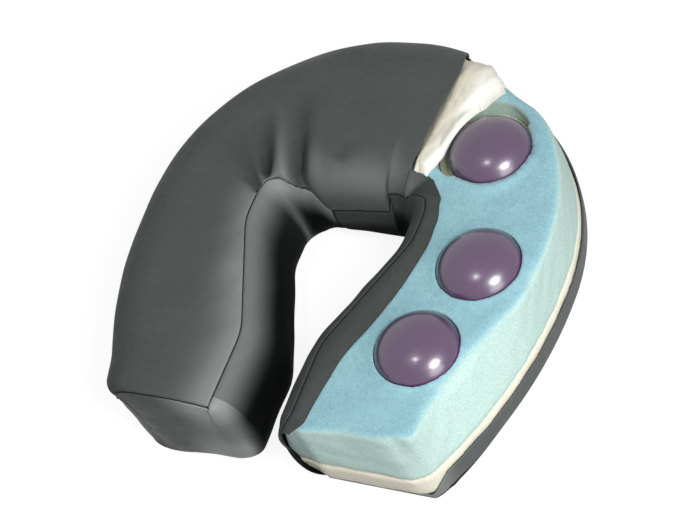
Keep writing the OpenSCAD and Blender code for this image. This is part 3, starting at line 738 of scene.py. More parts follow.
# The low strip of the outer side that is left below the cut-away arm: its cut edge wanders
def buildRemnant():
    start = cover["cutWalk"] - cover["cutDrawBack"] + 0.2
    walk = np.arange(start, float(walkAtY(endCorner["outerTurnY"], 1)), 1.0)
    _, sideLines = outerLines(walk)
    across = np.linspace(0, 1, 26)[1:, None]
    turnedNose = remnantCorner(outerNose, remnant["footY"] - 0.6)
    turnedLow = remnantCorner(-float(footIn(100, endCorner["outerTurnY"])), remnant["footY"])
    endX = remnant["endX"]
    nose, low = (np.concatenate([c, c[-1] + [endX - c[-1, 0], 0] * across])
                 for c in (turnedNose, turnedLow))
    noseZ = section["noseHeight"] - 3
    turned = bandLines(nose, nose, low, np.pi / 2, noseZ, section["bottom"], section["outerSeam"])
    lines = np.concatenate([sideLines, turned])
    run = alongLine(lines[:, 30])
    corner = run[len(walk)]
    atFront = smooth((run - corner + 8) / 26)
    height = remnant["height"] + (remnant["frontHeight"] - remnant["height"]) * atFront
    height = height + remnant["riseAtCut"] * bell(run, 9) + 0.5 * ripple((run, 0 * run), 61, 22, 2)
    share = np.linspace(0, 1, 12)
    z = section["bottom"] + (height[:, None] - section["bottom"]) * share[None, :]
    z[:, -1] = height
    points = np.array([np.stack([np.interp(row, line[:, 2], line[:, k]) for k in range(3)], -1)
                       for row, line in zip(z, lines)])
    _, flip = outward(points, (points - points.mean((0, 1))) * (1, 1, 0))
    # Painted highlight, stronger towards its front corner
    rubbed = np.repeat(0.12 + 0.5 * smooth((run - corner + 14) / 20)[:, None], len(share), 1)
    return makeSheet("coverOuterBandRemnant", points, flip, rubbed=rubbed)


# The underside: flat across, from the inner foot line to the outer one, with both front corners
# rounded as the feet of the bands are
def buildBottomPanel():
    arm = footFrontY + np.array([0, 0.5, 1.2, 2.2, 3.6, 5.0, 7.2])
    arm = np.concatenate([arm, np.arange(footFrontY + 9.5, 4, 3.0)])
    walk = np.concatenate([walkAtY(arm), np.arange(-90, 90.5, 1.5), walkAtY(arm, 1)[::-1]])
    inner, out, width = crossLines(walk)
    start = inner + out * section["lowWidth"]
    end = inner + out * (width - footIn(walk, inner[:, 1]))[:, None]
    side = np.sign(walk)
    y = inner[:, 1]
    turn = np.clip((endStartY - y) / endCorner["footY"], 0, 1)
    atCorner = y < endStartY
    turnedX = endCorner["footX"] - (endCorner["footX"] - endCorner["footInX"]) * np.sqrt(1 - turn ** 2)
    start[atCorner, 0] = (side * turnedX)[atCorner]
    outerTurn = np.clip((endCorner["outerTurnY"] - y) / (endCorner["outerTurnY"] - footFrontY), 0, 1)
    atOuter = y < endCorner["outerTurnY"]
    full = np.interp(endCorner["outerTurnY"], y[:40], -end[:40, 0])
    footX = endCorner["outerFootX"]
    chamfered = np.clip(1 - outerTurn ** (2 / endCorner["chamfer"]), 0, 1) ** (endCorner["chamfer"] / 2)
    end[atOuter, 0] = (side * (footX + (full - footX) * chamfered))[atOuter]
    t = np.linspace(0, 1, 44)[None, :, None]
    xy = start[:, None] + (end - start)[:, None] * t
    near = np.minimum(t[..., 0], 1 - t[..., 0]) * np.linalg.norm(end - start, axis=1)[:, None]
    reach = np.where(side[:, None] < 0, endCorner["footOut"] * smooth(1.15 * t[..., 0]),
                     footFrontY - remnant["footY"])
    xy[..., 1] -= reach * smooth((-130 - y) / (-130 - footFrontY))[:, None]
    foot = remnantCorner(-float(footIn(100, endCorner["outerTurnY"])), remnant["footY"])
    right = atOuter & (side > 0)
    endX = np.interp(-xy[right, -1, 1], -foot[:, 1], foot[:, 0])
    xy[right, :, 0] = start[right, :1] + (endX[:, None] - start[right, :1]) * t[..., 0]
    uneven = 0.12 * ripple((xy[..., 0], xy[..., 1]), 71, 40, 2)
    z = section["bottom"] + cover["seamDepth"] * 0.6 * groove(near) + uneven
    points = np.concatenate([xy, z[..., None]], -1)
    _, flip = outward(points, (0, 0, -1))
    return makeSheet("coverBottomPanel", points, flip, seamShade=groove(near))


# A cut edge and a real thickness: the sheet grows inwards from its good side
def giveThickness(piece, thickness):
    solid = piece.modifiers.new("thickness", "SOLIDIFY")
    solid.thickness, solid.offset, solid.use_even_offset = thickness / 1000, -1, False


wadding = {
    "lipWalk": 35.0, "under": 64.4, "thick": 8.0, "hem": 44.0, "side": 5.0, "lipRound": 5.0, "roll": 30.0,
    "across": 42, "down": 12,  # points of its section over the top and down its side
    "lipSteps": np.array([9, 7, 5.5, 4.3, 3.2, 2.3, 1.5, 0.9, 0.45, 0.15, 0.0]),  # walk left to the lip
    "bump": 13.6, "bumpRadius": 31.0,  # how it rises over the back capsule
    "pressed": 5.0,  # how much thinner it is under the cover
    "hemRise": 13.0, "drawIn": 7.0,  # how its hem stands higher and further in past the cut
    "drawBack": 11.5,  # how far the lip rounds back at its outer end
}


# The section of the loose fleece at each step of the walk: over the foam from the opening's side,
# down in a quarter ellipse to the hem, back up under it and round its inner edge
def waddingLines(walk):
    inner, out, width = crossLines(walk)
    under, thick, hem, roll = (wadding[k] for k in ("under", "thick", "hem", "roll"))
    seamE = section["highWidth"] * (1 - np.cos(seamTurn(walk)))
    startE = seamE + np.where(walk > 19, np.interp(walk, margin["walks"], margin["widths"]), 3.0) - 4.0
    startE = np.where(walk < cover["cutWalk"], np.maximum(startE, section["levelAt"] + 2), startE)[:, None]
    endE = width - 1.8 - 2.2 * smooth((cover["cutWalk"] + 3 - walk) / 6)
    endE = endE - wadding["drawIn"] * smooth((walk - cover["cutWalk"]) / 12)
    endE = (endE - wadding["drawIn"] * smooth((-100 - inner[:, 1]) / 30) * (walk < -90))[:, None]
    half, top = thick / 2, under + thick
    hem = (hem + wadding["hemRise"] * smooth((walk - cover["cutWalk"]) / 9))[:, None]
    turn = np.radians(np.linspace(0, 90, wadding["down"] + 1))[None, 1:]
    run = np.radians(np.linspace(90, 270, 9))[None, ::-1][:, 1:-1]
    overE = startE + half + (endE - roll - startE - half) * np.linspace(0, 1, wadding["across"])[None, :]
    downE, downZ = endE - roll + roll * np.sin(turn), hem + (top - hem) * np.cos(turn)
    backE = endE - roll + (roll - wadding["side"]) * np.sin(turn[:, ::-1])
    backZ = hem + (under - hem) * np.cos(turn[:, ::-1])
    roundE, roundZ = startE + half + half * np.cos(run), under + half + half * np.sin(run)
    flat = np.ones((len(walk), wadding["across"]))
    e = np.concatenate([overE, downE, backE, overE[:, ::-1], roundE], 1)
    z = np.concatenate([top * flat, downZ, backZ, under * flat, np.repeat(roundZ, len(walk), 0)], 1)
    return place(inner, out, e, z), e, startE, endE


# The loose fleece: a padded sheet over the foam, on a closed section, that ends in a rounded lip
def buildWadding(creases):
    lo, hi = boxOf("capsule_skin_right_back")
    ball = (lo + hi)[:2] / 2
    walk = np.concatenate([walkAtY(np.arange(-148, 0, 4.0)), np.arange(-90, 24, 1.6),
                           np.arange(24, 26, 0.7), wadding["lipWalk"] - wadding["lipSteps"]])
    points, e, startE, endE = waddingLines(walk)
    half = wadding["across"] + wadding["down"]
    x, y = points[..., 0], points[..., 1]
    away = np.hypot(x - ball[0], y - ball[1])
    rise = wadding["bump"] * np.maximum(0, 1 - (away / wadding["bumpRadius"]) ** 2) ** 0.9
    covered = smooth((cover["cutWalk"] + 3 - walk) / 6)[:, None]
    top = smooth((points[..., 2] - wadding["under"] - 1) / (wadding["thick"] - 2))
    thin = 0.97 * wadding["thick"] * (1 - smooth((e - startE) / 10)) * (1 - covered)
    thin = thin * (0.45 + 0.55 * smooth((walk[:, None] - 21) / 5))
    points[..., 2] -= np.maximum(creaseDepth(x, y, creases), 0) * covered
    points[..., 2] += rise * (1.0 - 0.45 * top) - (wadding["pressed"] * covered + thin) * top
    # its middle plane, from which the lip swells to its thickness
    middle = (points[:, :half] + points[:, 2 * half - 1:half - 1:-1]) / 2
    back = np.concatenate([middle, middle[:, ::-1], np.repeat(middle[:, :1], e.shape[1] - 2 * half, 1)], 1)
    fromLip = (walk[-1] - walk) * np.pi / 180 * 105
    swell = np.sqrt(np.clip(1 - (1 - np.clip(fromLip / wadding["lipRound"], 0, 1)) ** 2, 0, 1))
    swell = swell * (1 + 0.16 * bell(fromLip - 8, 8))
    points = back + (points - back) * swell[:, None, None]
    onTop = np.zeros((e.shape[1], 3))
    onTop[:wadding["across"], 2] = 1
    normals, flip = outward(points, onTop)
    x, y = points[..., 0], points[..., 1]
    fluff = 0.28 * ripple((x, y), 81, 8, 3) + 0.35 * ripple((x, y), 83, 30, 2)
    points = points + normals * (fluff * swell[:, None])[..., None]
    column = np.arange(e.shape[1])[None, :]
    wander = 0.35 * ripple((column * 2.0, 0), 85, 40, 2) * bell(fromLip[:, None], 14)
    outside = smooth((e - endE + 62) / 52)
    wander = wander - wadding["drawBack"] * outside * bell(fromLip[:, None], 26)
    ahead = np.gradient(back, axis=0)
    ahead /= np.maximum(np.linalg.norm(ahead, axis=2, keepdims=True), 1e-9)
    points = points + ahead * wander[..., None] * (swell[:, None, None] > 0)
    faces = gridFaces(*points.shape[:2], closeColumns=True, flip=flip)
    # Painted shade: the fleece is coloured beige away from the lip and its own white near it
    nearLip = np.repeat(bell(fromLip, 19), e.shape[1])
    piece = makeMesh("topWadding", points, faces, marks={"nearLip": nearLip})
    closeAndMerge(piece)
    return piece


weldWithin = 0.00001  # metres


def closeAndMerge(piece):
    work = bmesh.new()
    work.from_mesh(piece.data)
    bmesh.ops.remove_doubles(work, verts=work.verts, dist=weldWithin)
    bmesh.ops.holes_fill(work, edges=[e for e in work.edges if e.is_boundary], sides=0)
    work.to_mesh(piece.data)
    work.free()


def copyNode(name):
    piece = addObject(name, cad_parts[nodeOf(name)].data.copy())
    piece.data.materials.clear()
    closeAndMerge(piece)
    return piece


foam = {"voxel": 1.8, "smoothing": 14, "pressed": 2.0, "uneven": 0.22, "coveredEnd": 4.5}


# A foam block: a copy of its CAD solid in an even mesh, with its edges worn soft and a slight
# unevenness from the cutting wire
def buildFoam(name, seed, reshape=None, rims=(), creases=()):
    piece = copyNode(name)
    for kind, settings in (("REMESH", {"mode": "VOXEL", "voxel_size": foam["voxel"] / 1000}),
                           ("SMOOTH", {"iterations": foam["smoothing"], "factor": 0.5})):
        modifier = piece.modifiers.new(kind.lower(), kind)
        for key, value in settings.items():
            setattr(modifier, key, value)
    mesh = bpy.data.meshes.new_from_object(piece.evaluated_get(bpy.context.evaluated_depsgraph_get()))
    piece.modifiers.clear()
    piece.data = mesh
    mesh.name = name
    points, normals = readVertices(mesh) * 1000, readVertices(mesh, "normal")
    x, y, z = points.T
    uneven = foam["uneven"] * ripple((x + z, y - z), seed, 24, 3)
    # under the cover it is pressed in, most at the front end's foot
    hidden = smooth((-5 - x) / 10) + smooth((25 - x) / 20) * smooth((y - 20) / 15)
    foot = smooth((-138 - y) / 8) * (1.6 + 2.2 * smooth((30 - z) / 20))
    tip = 2.0 * smooth((36 - x) / 11) * smooth((-136 - y) / 8) * (x > 0)
    points = points + normals * (uneven - np.clip(hidden, 0, 1) * (foam["pressed"] + foot) - tip)[:, None]
    points[:, 0] += foam["coveredEnd"] * smooth((-102 - y) / 34) * smooth((-60 - x) / 25)
    if creases:
        points[:, 2] -= np.maximum(creaseDepth(x, y, creases), 0) * smooth((z - 35) / 20)
    if reshape is not None:
        points = reshape(points)
    mesh.vertices.foreach_set("co", (points / 1000).ravel())
    mesh.update()
    upward = readVertices(mesh, "normal")[:, 2]
    for skin in rims:
        points = closeRim(points, skin)
    mesh.vertices.foreach_set("co", (points / 1000).ravel())
    # The side mark is partly painted light: it gives the sides a colour of their own, lighter or darker than the
    # top as they catch more or less light
    setMark(mesh, "side", smooth((0.985 - upward) / 0.72) * smooth((upward + 0.5) / 0.2))
    shadeSmooth(mesh)
    return ridePiece(piece)


cutCorner = {
    "top": (92, -148), "topReach": (24, 22), "topOut": 11.5, "lean": 4.8,
    "foot": (107, -150), "footReach": (9, 9), "footOut": (1.6, -0.6, 0),
}


# 1 at a place in plan, falling off round it as a bell
def spot(x, y, centre, reach):
    return np.exp(-(((x - centre[0]) / reach[0]) ** 2 + ((y - centre[1]) / reach[1]) ** 2))


# The memory foam's cut front corner stands out square and its front face leans back a little
def squareTop(points):
    x, y, z = points.T
    high = np.clip((z - 21) / 42.5, 0, 1)
    near = spot(x, y, cutCorner["top"], cutCorner["topReach"])
    back = smooth((x - 25) / 40) * smooth((-146 - y) / 8)
    out, lean = cutCorner["topOut"] * high * near, cutCorner["lean"] * high * back
    return points + np.stack([out, lean, 0 * z], -1)


# The base foam's cut front corner, square at its foot
def squareFoot(points):
    x, y, z = points.T
    near = spot(x, y, cutCorner["foot"], cutCorner["footReach"]) * np.clip((23 - z) / 21, 0, 1)
    return points + near[:, None] * np.array(cutCorner["footOut"])


# A pocket closes in on its ball: the gap shrinks by its square near the ball, and the rim swells
def closeRim(points, skin):
    lo, hi = boxOf(skin)
    centre, half = (lo + hi) / 2, (hi - lo) / 2
    away = points[:, :2] - centre[:2]
    d = np.maximum(np.linalg.norm(away, axis=1), 1e-6)
    swell = 1.5 + 2.0 * np.clip(-away[:, 1] / d, 0, 1)
    z = points[:, 2] + swell * bell(np.maximum(0, d - half[0]), 5.0) * smooth((points[:, 2] - 58) / 5)
    ballR = half[0] * np.sqrt(np.clip(1 - ((z - centre[2]) / half[2]) ** 2, 0, 1))
    gap = np.clip(d - ballR - 0.2, 0, 9)
    closer = (gap - gap ** 2 / 9) * smooth((z - 53) / 7) * (d < half[0] + 9)
    if "back" in skin:  # only where the pocket fits its ball
        closer, z = closer * (gap < 3.5), np.where(away[:, 1] < 0, z, points[:, 2])
    return np.column_stack([points[:, :2] - away / d[:, None] * closer[:, None], z])


# The wide back pocket's pad stands higher beside its ball
def raisePad(points):
    lo, hi = boxOf("capsule_skin_right_back")
    d = np.linalg.norm(points[:, :2] - (lo + hi)[:2] / 2, axis=1)
    lift = 6.0 * smooth((d - 22) / 7) * smooth((points[:, 2] - 36) / 7)
    return points + np.stack([0 * d, 0 * d, lift], -1)


capsule = {
    "around": 112, "steps": 61,
    "padKeepRight": 0.35, "padKeepLeft": 0.64,  # the share of a pad's height that is left when pressed
}


# A closed round form from rings: radii and heights down its side, and a point at both ends
def roundForm(name, centre, radii, heights, body):
    around = capsule["around"]
    turn = np.linspace(0, 2 * np.pi, around, endpoint=False)[None, :]
    r, z = np.array(radii)[1:-1, None], np.array(heights)[1:-1, None]
    rings = np.stack([centre[0] + r * np.cos(turn), centre[1] + r * np.sin(turn), z + 0 * turn], -1)
    ends = np.array([[*centre[:2], heights[0]], [*centre[:2], heights[-1]]])
    count, step = len(rings) * around, np.arange(around)
    following = (step + 1) % around
    pairs = list(zip(step.tolist(), following.tolist()))
    last = count - around
    caps = [[count, a, b] for a, b in pairs] + [[count + 1, last + b, last + a] for a, b in pairs]
    faces = gridFaces(len(rings), around, closeColumns=True, flip=True) + caps
    return makeMesh(name, np.concatenate([rings.reshape(-1, 3), ends]), faces, body)


# The six fluid capsules, each a flattened ball, and the soft foam seats that they sink into
def buildCapsules():
    balls, pads = [], []
    for side in ("right", "left"):
        for row in ("back", "middle", "front"):
            lo, hi = boxOf(f"capsule_skin_{side}_{row}")
            centre, radius, tall = (lo + hi) / 2, (hi - lo)[0] / 2, (hi - lo)[2] / 2
            turn = np.radians(np.linspace(0, 180, capsule["steps"]))
            radii, heights = radius * np.sin(turn), centre[2] + tall * np.cos(turn)
            title = side.capitalize() + row.capitalize()
            balls.append(roundForm("capsuleSkin" + title, centre, radii, heights, f"capsule_{side}_{row}"))
            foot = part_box(f"seat_pad_{side}_{row}")[0][2]
            pad = buildFoam("seatPad" + title, 95, raisePad if title == "RightBack" else None)
            pads.append((pad, side, row, foot))
    return balls, pads


stripMesh = {"longEdge": 0.008, "cuts": 3}  # edges longer than this, in metres, are cut


# The strips of loop tape: copies of their CAD solids in an even mesh
def buildStrips():
    pieces = []
    for name in ("Left", "Right", "Back"):
        piece = copyNode("fasteningStrip" + name)
        work = bmesh.new()
        work.from_mesh(piece.data)
        long = [e for e in work.edges if e.calc_length() > stripMesh["longEdge"]]
        bmesh.ops.subdivide_edges(work, edges=long, cuts=stripMesh["cuts"], use_grid_fill=True)
        bmesh.ops.triangulate(work, faces=work.faces)
        work.to_mesh(piece.data)
        work.free()
        pieces.append(ridePiece(piece))
    return pieces


# Sets a node's inputs, and links those that are given a socket
def setInputs(tree, node, inputs):
    for key, value in inputs.items():
        if isinstance(value, bpy.types.NodeSocket):
            tree.links.new(value, node.inputs[key])
        else:
            node.inputs[key].default_value = value


def addNode(tree, kind, inputs=None, **settings):
    node = tree.nodes.new("ShaderNode" + kind)
    for key, value in settings.items():
        setattr(node, key, value)
    setInputs(tree, node, inputs or {})
    return node


def addMath(tree, operation, *values):
    return addNode(tree, "Math", dict(enumerate(values)), operation=operation).outputs[0]


# 0 to 1 as the value goes from low to high
def addSpan(tree, value, low, high):
    return addNode(tree, "MapRange", {"Value": value, "From Min": low, "From Max": high}).outputs[0]


def objectPlace(tree):
    return addNode(tree, "TexCoord").outputs["Object"]


# Noise by the place on the object, or by another vector
def addNoise(tree, scale, detail, vector=None, **others):
    inputs = {"Vector": vector or objectPlace(tree), "Scale": scale, "Detail": detail, **others}
    return addNode(tree, "TexNoise", inputs).outputs["Fac"]


def addBump(tree, strength, distance, height, **others):
    inputs = {"Strength": strength, "Distance": distance, "Height": height, **others}
    return addNode(tree, "Bump", inputs).outputs[0]


def readMark(tree, name):
    return addNode(tree, "Attribute", attribute_name=name).outputs["Fac"]


def mixColour(tree, amount, first, second, blend="MIX"):
    node = addNode(tree, "Mix", {0: amount}, data_type="RGBA", blend_type=blend)
    places = [k for k, socket in enumerate(node.inputs) if socket.type == "RGBA"]
    setInputs(tree, node, {places[0]: first, places[1]: second})
    return [socket for socket in node.outputs if socket.type == "RGBA"][0]


def colour(red, green, blue):  # from the screen's 0 to 255 to linear light
    c = np.array([red, green, blue]) / 255
    return (*np.where(c > 0.04045, ((c + 0.055) / 1.055) ** 2.4, c / 12.92).tolist(), 1.0)


def newGroup(name, inputs, outputs):
    group = bpy.data.node_groups.new(name, "ShaderNodeTree")
    for label, kind, value in inputs:
        socket = group.interface.new_socket(label, in_out="INPUT", socket_type=kind)
        if value is not None:
            socket.default_value = value
    for label, kind in outputs:
        group.interface.new_socket(label, in_out="OUTPUT", socket_type=kind)
    return group, group.nodes.new("NodeGroupInput"), group.nodes.new("NodeGroupOutput")


# Colour that drifts a little over the surface, and roughness with it: two scales of noise
def makeDriftGroup():
    number, shade = "NodeSocketFloat", "NodeSocketColor"
    inputs = [("Colour", shade, None), ("Other", shade, None), ("Scale", number, 20.0),
              ("Roughness", number, 0.5), ("Spread", number, 0.1)]
    group, start, end = newGroup("colourDrift", inputs, [("Colour", shade), ("Roughness", number)])
    given = start.outputs
    broad = addNoise(group, given["Scale"], 3.0)
    fine = addNoise(group, addMath(group, "MULTIPLY", given["Scale"], 9.0), 4.0)
    amount = addSpan(group, addMath(group, "ADD", broad, fine), 0.7, 1.3)
    off = addMath(group, "SUBTRACT", amount, 0.5)
    setInputs(group, end, {
        "Colour": mixColour(group, amount, given["Colour"], given["Other"]),
        "Roughness": addMath(group, "MULTIPLY_ADD", off, given["Spread"], given["Roughness"]),
    })
    return group


# Small cells, as of foam or leather grain: distance to the nearest of scattered points, softened
# with fine noise
def makeCellGroup():
    number = "NodeSocketFloat"
    inputs = [("Cells", number, 900.0), ("Noise", number, 400.0), ("Share", number, 0.5)]
    group, start, end = newGroup("fineCells", inputs, [("Height", number), ("Pits", number)])
    given = start.outputs
    scattered = {"Vector": objectPlace(group), "Scale": given["Cells"]}
    cells = addNode(group, "TexVoronoi", scattered, feature="SMOOTH_F1").outputs["Distance"]
    noise = addNoise(group, given["Noise"], 6.0, Roughness=0.65)
    height = addNode(group, "Mix", {"Factor": given["Share"], "A": cells, "B": noise}).outputs[0]
    setInputs(group, end, {"Height": height, "Pits": addSpan(group, height, 0.42, 0.25)})
    return group


def newMaterial(name):
    material = bpy.data.materials.new(name)
    material.use_nodes = True
    return material, material.node_tree, material.node_tree.nodes["Principled BSDF"]


# Places the drift with a finish's own colours and numbers
def placeDrift(tree, drift, looks):
    inputs = {"Colour": colour(*looks["colour"]), "Other": colour(*looks["other"]), "Scale": looks["scale"],
              "Roughness": looks["roughness"], "Spread": looks["spread"]}
    return addNode(tree, "Group", inputs, node_tree=drift).outputs


def placeCells(tree, cells, size, noise, share):
    return addNode(tree, "Group", {"Cells": size, "Noise": noise, "Share": share}, node_tree=cells).outputs


leather = {
    "colour": (83, 88, 87), "other": (77, 82, 81), "scale": 26.0, "roughness": 0.5, "spread": 0.12,
    # seam is the seams' dark colour; the next two are a painted highlight's colour and a painted shade's
    "seam": (20, 22, 22), "rubbed": (146, 151, 150), "sunk": (3, 5, 4),
    "grain": 1400.0, "grainDepth": 0.0003, "wrinkle": 90.0, "wrinkleDepth": 0.0012,
}


def makeLeather(drift, cells):
    material, tree, shader = newMaterial("greyLeather")
    base = placeDrift(tree, drift, leather)
    grain = placeCells(tree, cells, leather["grain"], 700.0, 0.35)
    # The marks paint light into the colour: a highlight on rolled edges and ridges, and near black shade low in the
    # opening, where the leather also reflects less
    deep = addSpan(tree, readMark(tree, "seamShade"), 0.45, 0.95)
    sunk = readMark(tree, "sunk")
    highlighted = mixColour(tree, readMark(tree, "rubbed"), base["Colour"], colour(*leather["rubbed"]))
    shaded = mixColour(tree, sunk, highlighted, colour(*leather["sunk"]))
    wrinkles = addNoise(tree, leather["wrinkle"], 4.0, Distortion=0.6)
    soft = addBump(tree, 0.12, leather["wrinkleDepth"], wrinkles)
    setInputs(tree, shader, {
        "Base Color": mixColour(tree, deep, shaded, colour(*leather["seam"])),
        "Roughness": addNode(tree, "Mix", {"Factor": sunk, "A": base["Roughness"], "B": 1.0}).outputs[0],
        "Normal": addBump(tree, 0.25, leather["grainDepth"], grain["Height"], Normal=soft),
        "Specular IOR Level": 0.1,
    })
    return material


# Each foam's side colour is partly painted light, as its sides catch more or less light than its top; the memory
# foam's turn from blue to green is its own
foamLooks = {
    "memoryFoam": {"colour": (153, 198, 206), "other": (137, 182, 195), "side": (193, 221, 213),
                   "cells": 900.0, "bump": 0.0008, "speckle": 0.1},
    "baseFoam": {"colour": (240, 235, 216), "other": (234, 228, 207), "side": (235, 230, 212),
                 "cells": 1100.0, "bump": 0.0008, "speckle": 0.07},
    "seatFoam": {"colour": (238, 230, 204), "other": (230, 220, 192), "side": (226, 214, 184),
                 "cells": 1300.0, "bump": 0.0006, "speckle": 0.07},
}
anyFoam = {
    "scale": 30.0, "roughness": 0.85, "spread": 0.1, "pit": (0.72, 0.76, 0.78, 1), "pitShare": 0.6,
    "poreNoise": 1100.0, "specks": 950.0,
}


def makeFoam(name, drift, cells):
    looks = {**anyFoam, **foamLooks[name]}
    material, tree, shader = newMaterial(name)
    base = placeDrift(tree, drift, looks)
    pores = placeCells(tree, cells, looks["cells"], looks["poreNoise"], 0.45)
    # Painted light in part: the side colour is mixed in on the sides
    body = mixColour(tree, readMark(tree, "side"), base["Colour"], colour(*looks["side"]))
    darker = mixColour(tree, 1.0, body, looks["pit"], "MULTIPLY")
    speck = addSpan(tree, addNoise(tree, looks["specks"], 2.0), 0.32, 0.68)
    greys = ((k, k, k, 1) for k in (1 - looks["speckle"], 1 + looks["speckle"]))
    low, high = (mixColour(tree, 1.0, body, grey, "MULTIPLY") for grey in greys)
    pit = addMath(tree, "MULTIPLY", pores["Pits"], looks["pitShare"])
    setInputs(tree, shader, {
        "Base Color": mixColour(tree, pit, mixColour(tree, speck, low, high), darker),
        "Roughness": base["Roughness"],
        "Normal": addBump(tree, 0.35, looks["bump"], pores["Height"]),
        "Specular IOR Level": 0.2,
        "Sheen Weight": 0.15,
    })
    return material


# colour is the fleece painted beige as shade, lip is its own white
fleece = {
    "colour": (224, 216, 190), "lip": (250, 249, 240), "pit": (0.86, 0.83, 0.76, 1), "pitShare": 0.5,
    "fibres": 900.0, "fibreDepth": 0.0008, "fibreWay": radians(32), "tufts": 160.0, "tuftDepth": 0.002,
}


def makeFleece(cells):
    material, tree, shader = newMaterial("whiteFleece")
    tufts = placeCells(tree, cells, fleece["tufts"], fleece["fibres"] / 2, 0.6)
    # Painted shade: beige away from the lip, white near it
    body = mixColour(tree, readMark(tree, "nearLip"), colour(*fleece["colour"]), colour(*fleece["lip"]))
    darker = mixColour(tree, 1.0, body, fleece["pit"], "MULTIPLY")
    pit = addMath(tree, "MULTIPLY", tufts["Pits"], fleece["pitShare"])
    along = {"Vector": objectPlace(tree), "Rotation": (0, 0, fleece["fibreWay"]), "Scale": (1.0, 0.3, 1.0)}
    stretched = addNode(tree, "Mapping", along).outputs[0]
    fibres = addNoise(tree, fleece["fibres"], 5.0, stretched, Distortion=1.5)
    bump = addBump(tree, 0.3, fleece["tuftDepth"], tufts["Height"])
    setInputs(tree, shader, {
        "Base Color": mixColour(tree, pit, body, darker),
        "Roughness": 0.95,
        "Normal": addBump(tree, 0.3, fleece["fibreDepth"], fibres, Normal=bump),
        "Specular IOR Level": 0.1,
        "Sheen Weight": 0.3,
    })
    return material


film = {
    "colour": (74, 40, 82), "other": (64, 32, 74), "rim": (34, 8, 38),
    "scale": 40.0, "roughness": 0.3, "spread": 0.05,
}


# The capsules' film: glossy, milky purple, darker towards the rim as the wall is seen edge on
def makeFilm(drift):
    material, tree, shader = newMaterial("capsuleFilm")
    base = placeDrift(tree, drift, film)
    edge = addNode(tree, "LayerWeight", {"Blend": 0.38}).outputs["Facing"]
    setInputs(tree, shader, {
        "Base Color": mixColour(tree, addSpan(tree, edge, 0.25, 0.9), base["Colour"], colour(*film["rim"])),
        "Roughness": base["Roughness"],
        "Specular IOR Level": 0.9,
        "Coat Weight": 0.7,
        "Coat Roughness": 0.16,
        "IOR": 1.5,
    })
    return material


fluid = {
    "colour": (136, 88, 140), "other": (120, 74, 126),
    "scale": 60.0, "roughness": 0.12, "spread": 0.04,
}


def makeFluid(drift):
    material, tree, shader = newMaterial("capsuleFluid")
    base = placeDrift(tree, drift, fluid)
    setInputs(tree, shader, {"Base Color": base["Colour"], "Roughness": base["Roughness"]})
    return material


tape = {
    "colour": (46, 48, 50), "other": (34, 36, 38),
    "scale": 300.0, "roughness": 0.9, "spread": 0.1, "rows": 260.0,
}


# Loop tape: rows of small loops, as waves across fine noise
def makeTape(drift):
    material, tree, shader = newMaterial("loopTape")
    base = placeDrift(tree, drift, tape)
    rows = addNode(tree, "TexWave", {"Vector": objectPlace(tree), "Scale": tape["rows"], "Distortion": 6.0,
                                     "Detail": 3.0, "Detail Scale": 3.0})
    setInputs(tree, shader, {
        "Base Color": base["Colour"],
        "Roughness": base["Roughness"],
        "Normal": addBump(tree, 0.8, 0.0008, rows.outputs["Fac"]),
        "Sheen Weight": 0.4,
    })
    return material


coverPieces, marginParts, creases = buildCover()
coverPieces += [buildMargin(*marginParts), buildRemnant(), buildBottomPanel()]
print("cover:", len(coverPieces), "pieces")
memoryFoam = buildFoam("memoryFoam", 91, squareTop,
                       [f"capsule_skin_right_{row}" for row in ("back", "middle", "front")], creases)
baseFoam = buildFoam("baseFoam", 92, squareFoot)
topWadding = buildWadding(creases)
print("foams and wadding done")
balls, pads = buildCapsules()
strips = buildStrips()
for piece in coverPieces:
    giveThickness(piece, cover["thickness"])
for pad, side, row, foot in pads:
    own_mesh(pad)
drift, cells = makeDriftGroup(), makeCellGroup()
finishes = [
    (coverPieces, makeLeather(drift, cells)), (balls, makeFilm(drift)), (strips, makeTape(drift)),
    ([memoryFoam], makeFoam("memoryFoam", drift, cells)), ([baseFoam], makeFoam("baseFoam", drift, cells)),
    ([pad[0] for pad in pads], makeFoam("seatFoam", drift, cells)), ([topWadding], makeFleece(cells)),
]
for pieces, look in finishes:
    for piece in pieces:
        piece.data.materials.clear()
        piece.data.materials.append(look)
fluidLook = makeFluid(drift)
for name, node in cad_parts.items():
    if name.startswith("capsule_fluid"):
        for material in node.material_slots:
            material.material = fluidLook
print("materials done")

light = {
    "key": {"from": (0.66, -0.29, 0.70), "distance": 1.3, "size": 0.5, "energy": 10.6},
    "second": {"from": (0.0, -0.25, 0.97), "distance": 1.4, "size": 0.18, "energy": 1.9},
    "side": {"from": (0.80, -0.48, 0.36), "distance": 1.4, "size": 0.8, "energy": 6.0},
    "aim": (0, 0, 0.04), "world": 0.31,
}


def addLight(name, settings):
    lamp = bpy.data.lights.new(name, "AREA")
    lamp.shape, lamp.energy, lamp.size = "DISK", settings["energy"], settings["size"]
    source = addObject(name, lamp)
    way = Vector(settings["from"]).normalized()
    source.location = Vector(light["aim"]) + way * settings["distance"]
    source.rotation_euler = (-way).to_track_quat("-Z", "Y").to_euler()


# 1 for rays from the camera and for those that reach it by a gloss or through something clear
def seenRays(tree):
    path = addNode(tree, "LightPath").outputs
    first = addMath(tree, "MAXIMUM", path["Is Camera Ray"], path["Is Glossy Ray"])
    return addMath(tree, "MAXIMUM", first, path["Is Transmission Ray"])


white = (1, 1, 1, 1)
floorLooks = {"half": 4.0, "below": 0.0002, "grey": (0.22, 0.22, 0.22, 1), "glow": 0.88}


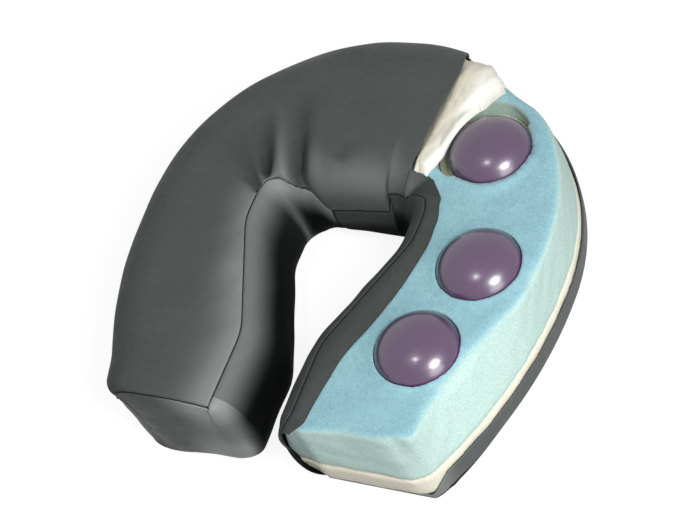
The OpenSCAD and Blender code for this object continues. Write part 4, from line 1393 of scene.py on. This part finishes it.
def buildWorld():
    world = bpy.data.worlds.new("studio")
    world.use_nodes = True
    tree = world.node_tree
    plain = tree.nodes["Background"]
    setInputs(tree, plain, {"Color": white, "Strength": light["world"]})
    seen = addNode(tree, "Background", {"Color": white, "Strength": 1.0})
    mixed = addNode(tree, "MixShader", {0: seenRays(tree), 1: plain.outputs[0], 2: seen.outputs[0]})
    setInputs(tree, tree.nodes["World Output"], {"Surface": mixed.outputs[0]})
    bpy.context.scene.world = world


# A grey floor that glows white where it is seen, so that it keeps the shadow
def buildFloor():
    mesh = bpy.data.meshes.new("floor")
    half, z = floorLooks["half"], -floorLooks["below"]
    corners = [(-half, -half, z), (half, -half, z), (half, half, z), (-half, half, z)]
    mesh.from_pydata(corners, [], [(0, 1, 2, 3)])
    floor = addObject("floor", mesh)
    material, tree, shader = newMaterial("floorPaper")
    setInputs(tree, shader, {
        "Base Color": floorLooks["grey"],
        "Roughness": 0.9,
        "Specular IOR Level": 0.0,
        "Emission Color": white,
        "Emission Strength": addMath(tree, "MULTIPLY", seenRays(tree), floorLooks["glow"]),
    })
    mesh.materials.append(material)


def buildCamera():
    data = bpy.data.cameras.new("photoCamera")
    data.lens, data.sensor_width, data.sensor_fit = photoCamera["lens"], photoCamera["sensor"], "AUTO"
    data.clip_end = 50
    camera = addObject("photoCamera", data)
    turn = Matrix(cameraTurn.tolist()).to_4x4()
    camera.matrix_world = Matrix.Translation(Vector(photoCamera["place"]) / 1000) @ turn
    bpy.context.scene.camera = camera


for name in ("key", "second", "side"):
    addLight(name, light[name])
buildWorld()
buildFloor()
buildCamera()
bpy.context.scene.view_settings.view_transform = "Standard"


# Where points in millimetres show in the photograph's frame
def showsAt(points):
    w, h = frameSize
    local = (np.asarray(points) - np.array(photoCamera["place"])) @ cameraTurn
    scale = max(w, h) * photoCamera["lens"] / photoCamera["sensor"] / -local[:, 2]
    return np.stack([w / 2 + local[:, 0] * scale, h / 2 - local[:, 1] * scale], -1)


# Where the vertices of the cover pieces, the balls, the foams and the wadding show in the photograph's frame
def writePoints():
    bpy.context.view_layer.update()
    shown = coverPieces + balls + [memoryFoam, baseFoam, topWadding]
    seen = {piece.name: showsAt(readVertices(piece.data) * 1000) for piece in shown}


writePoints()
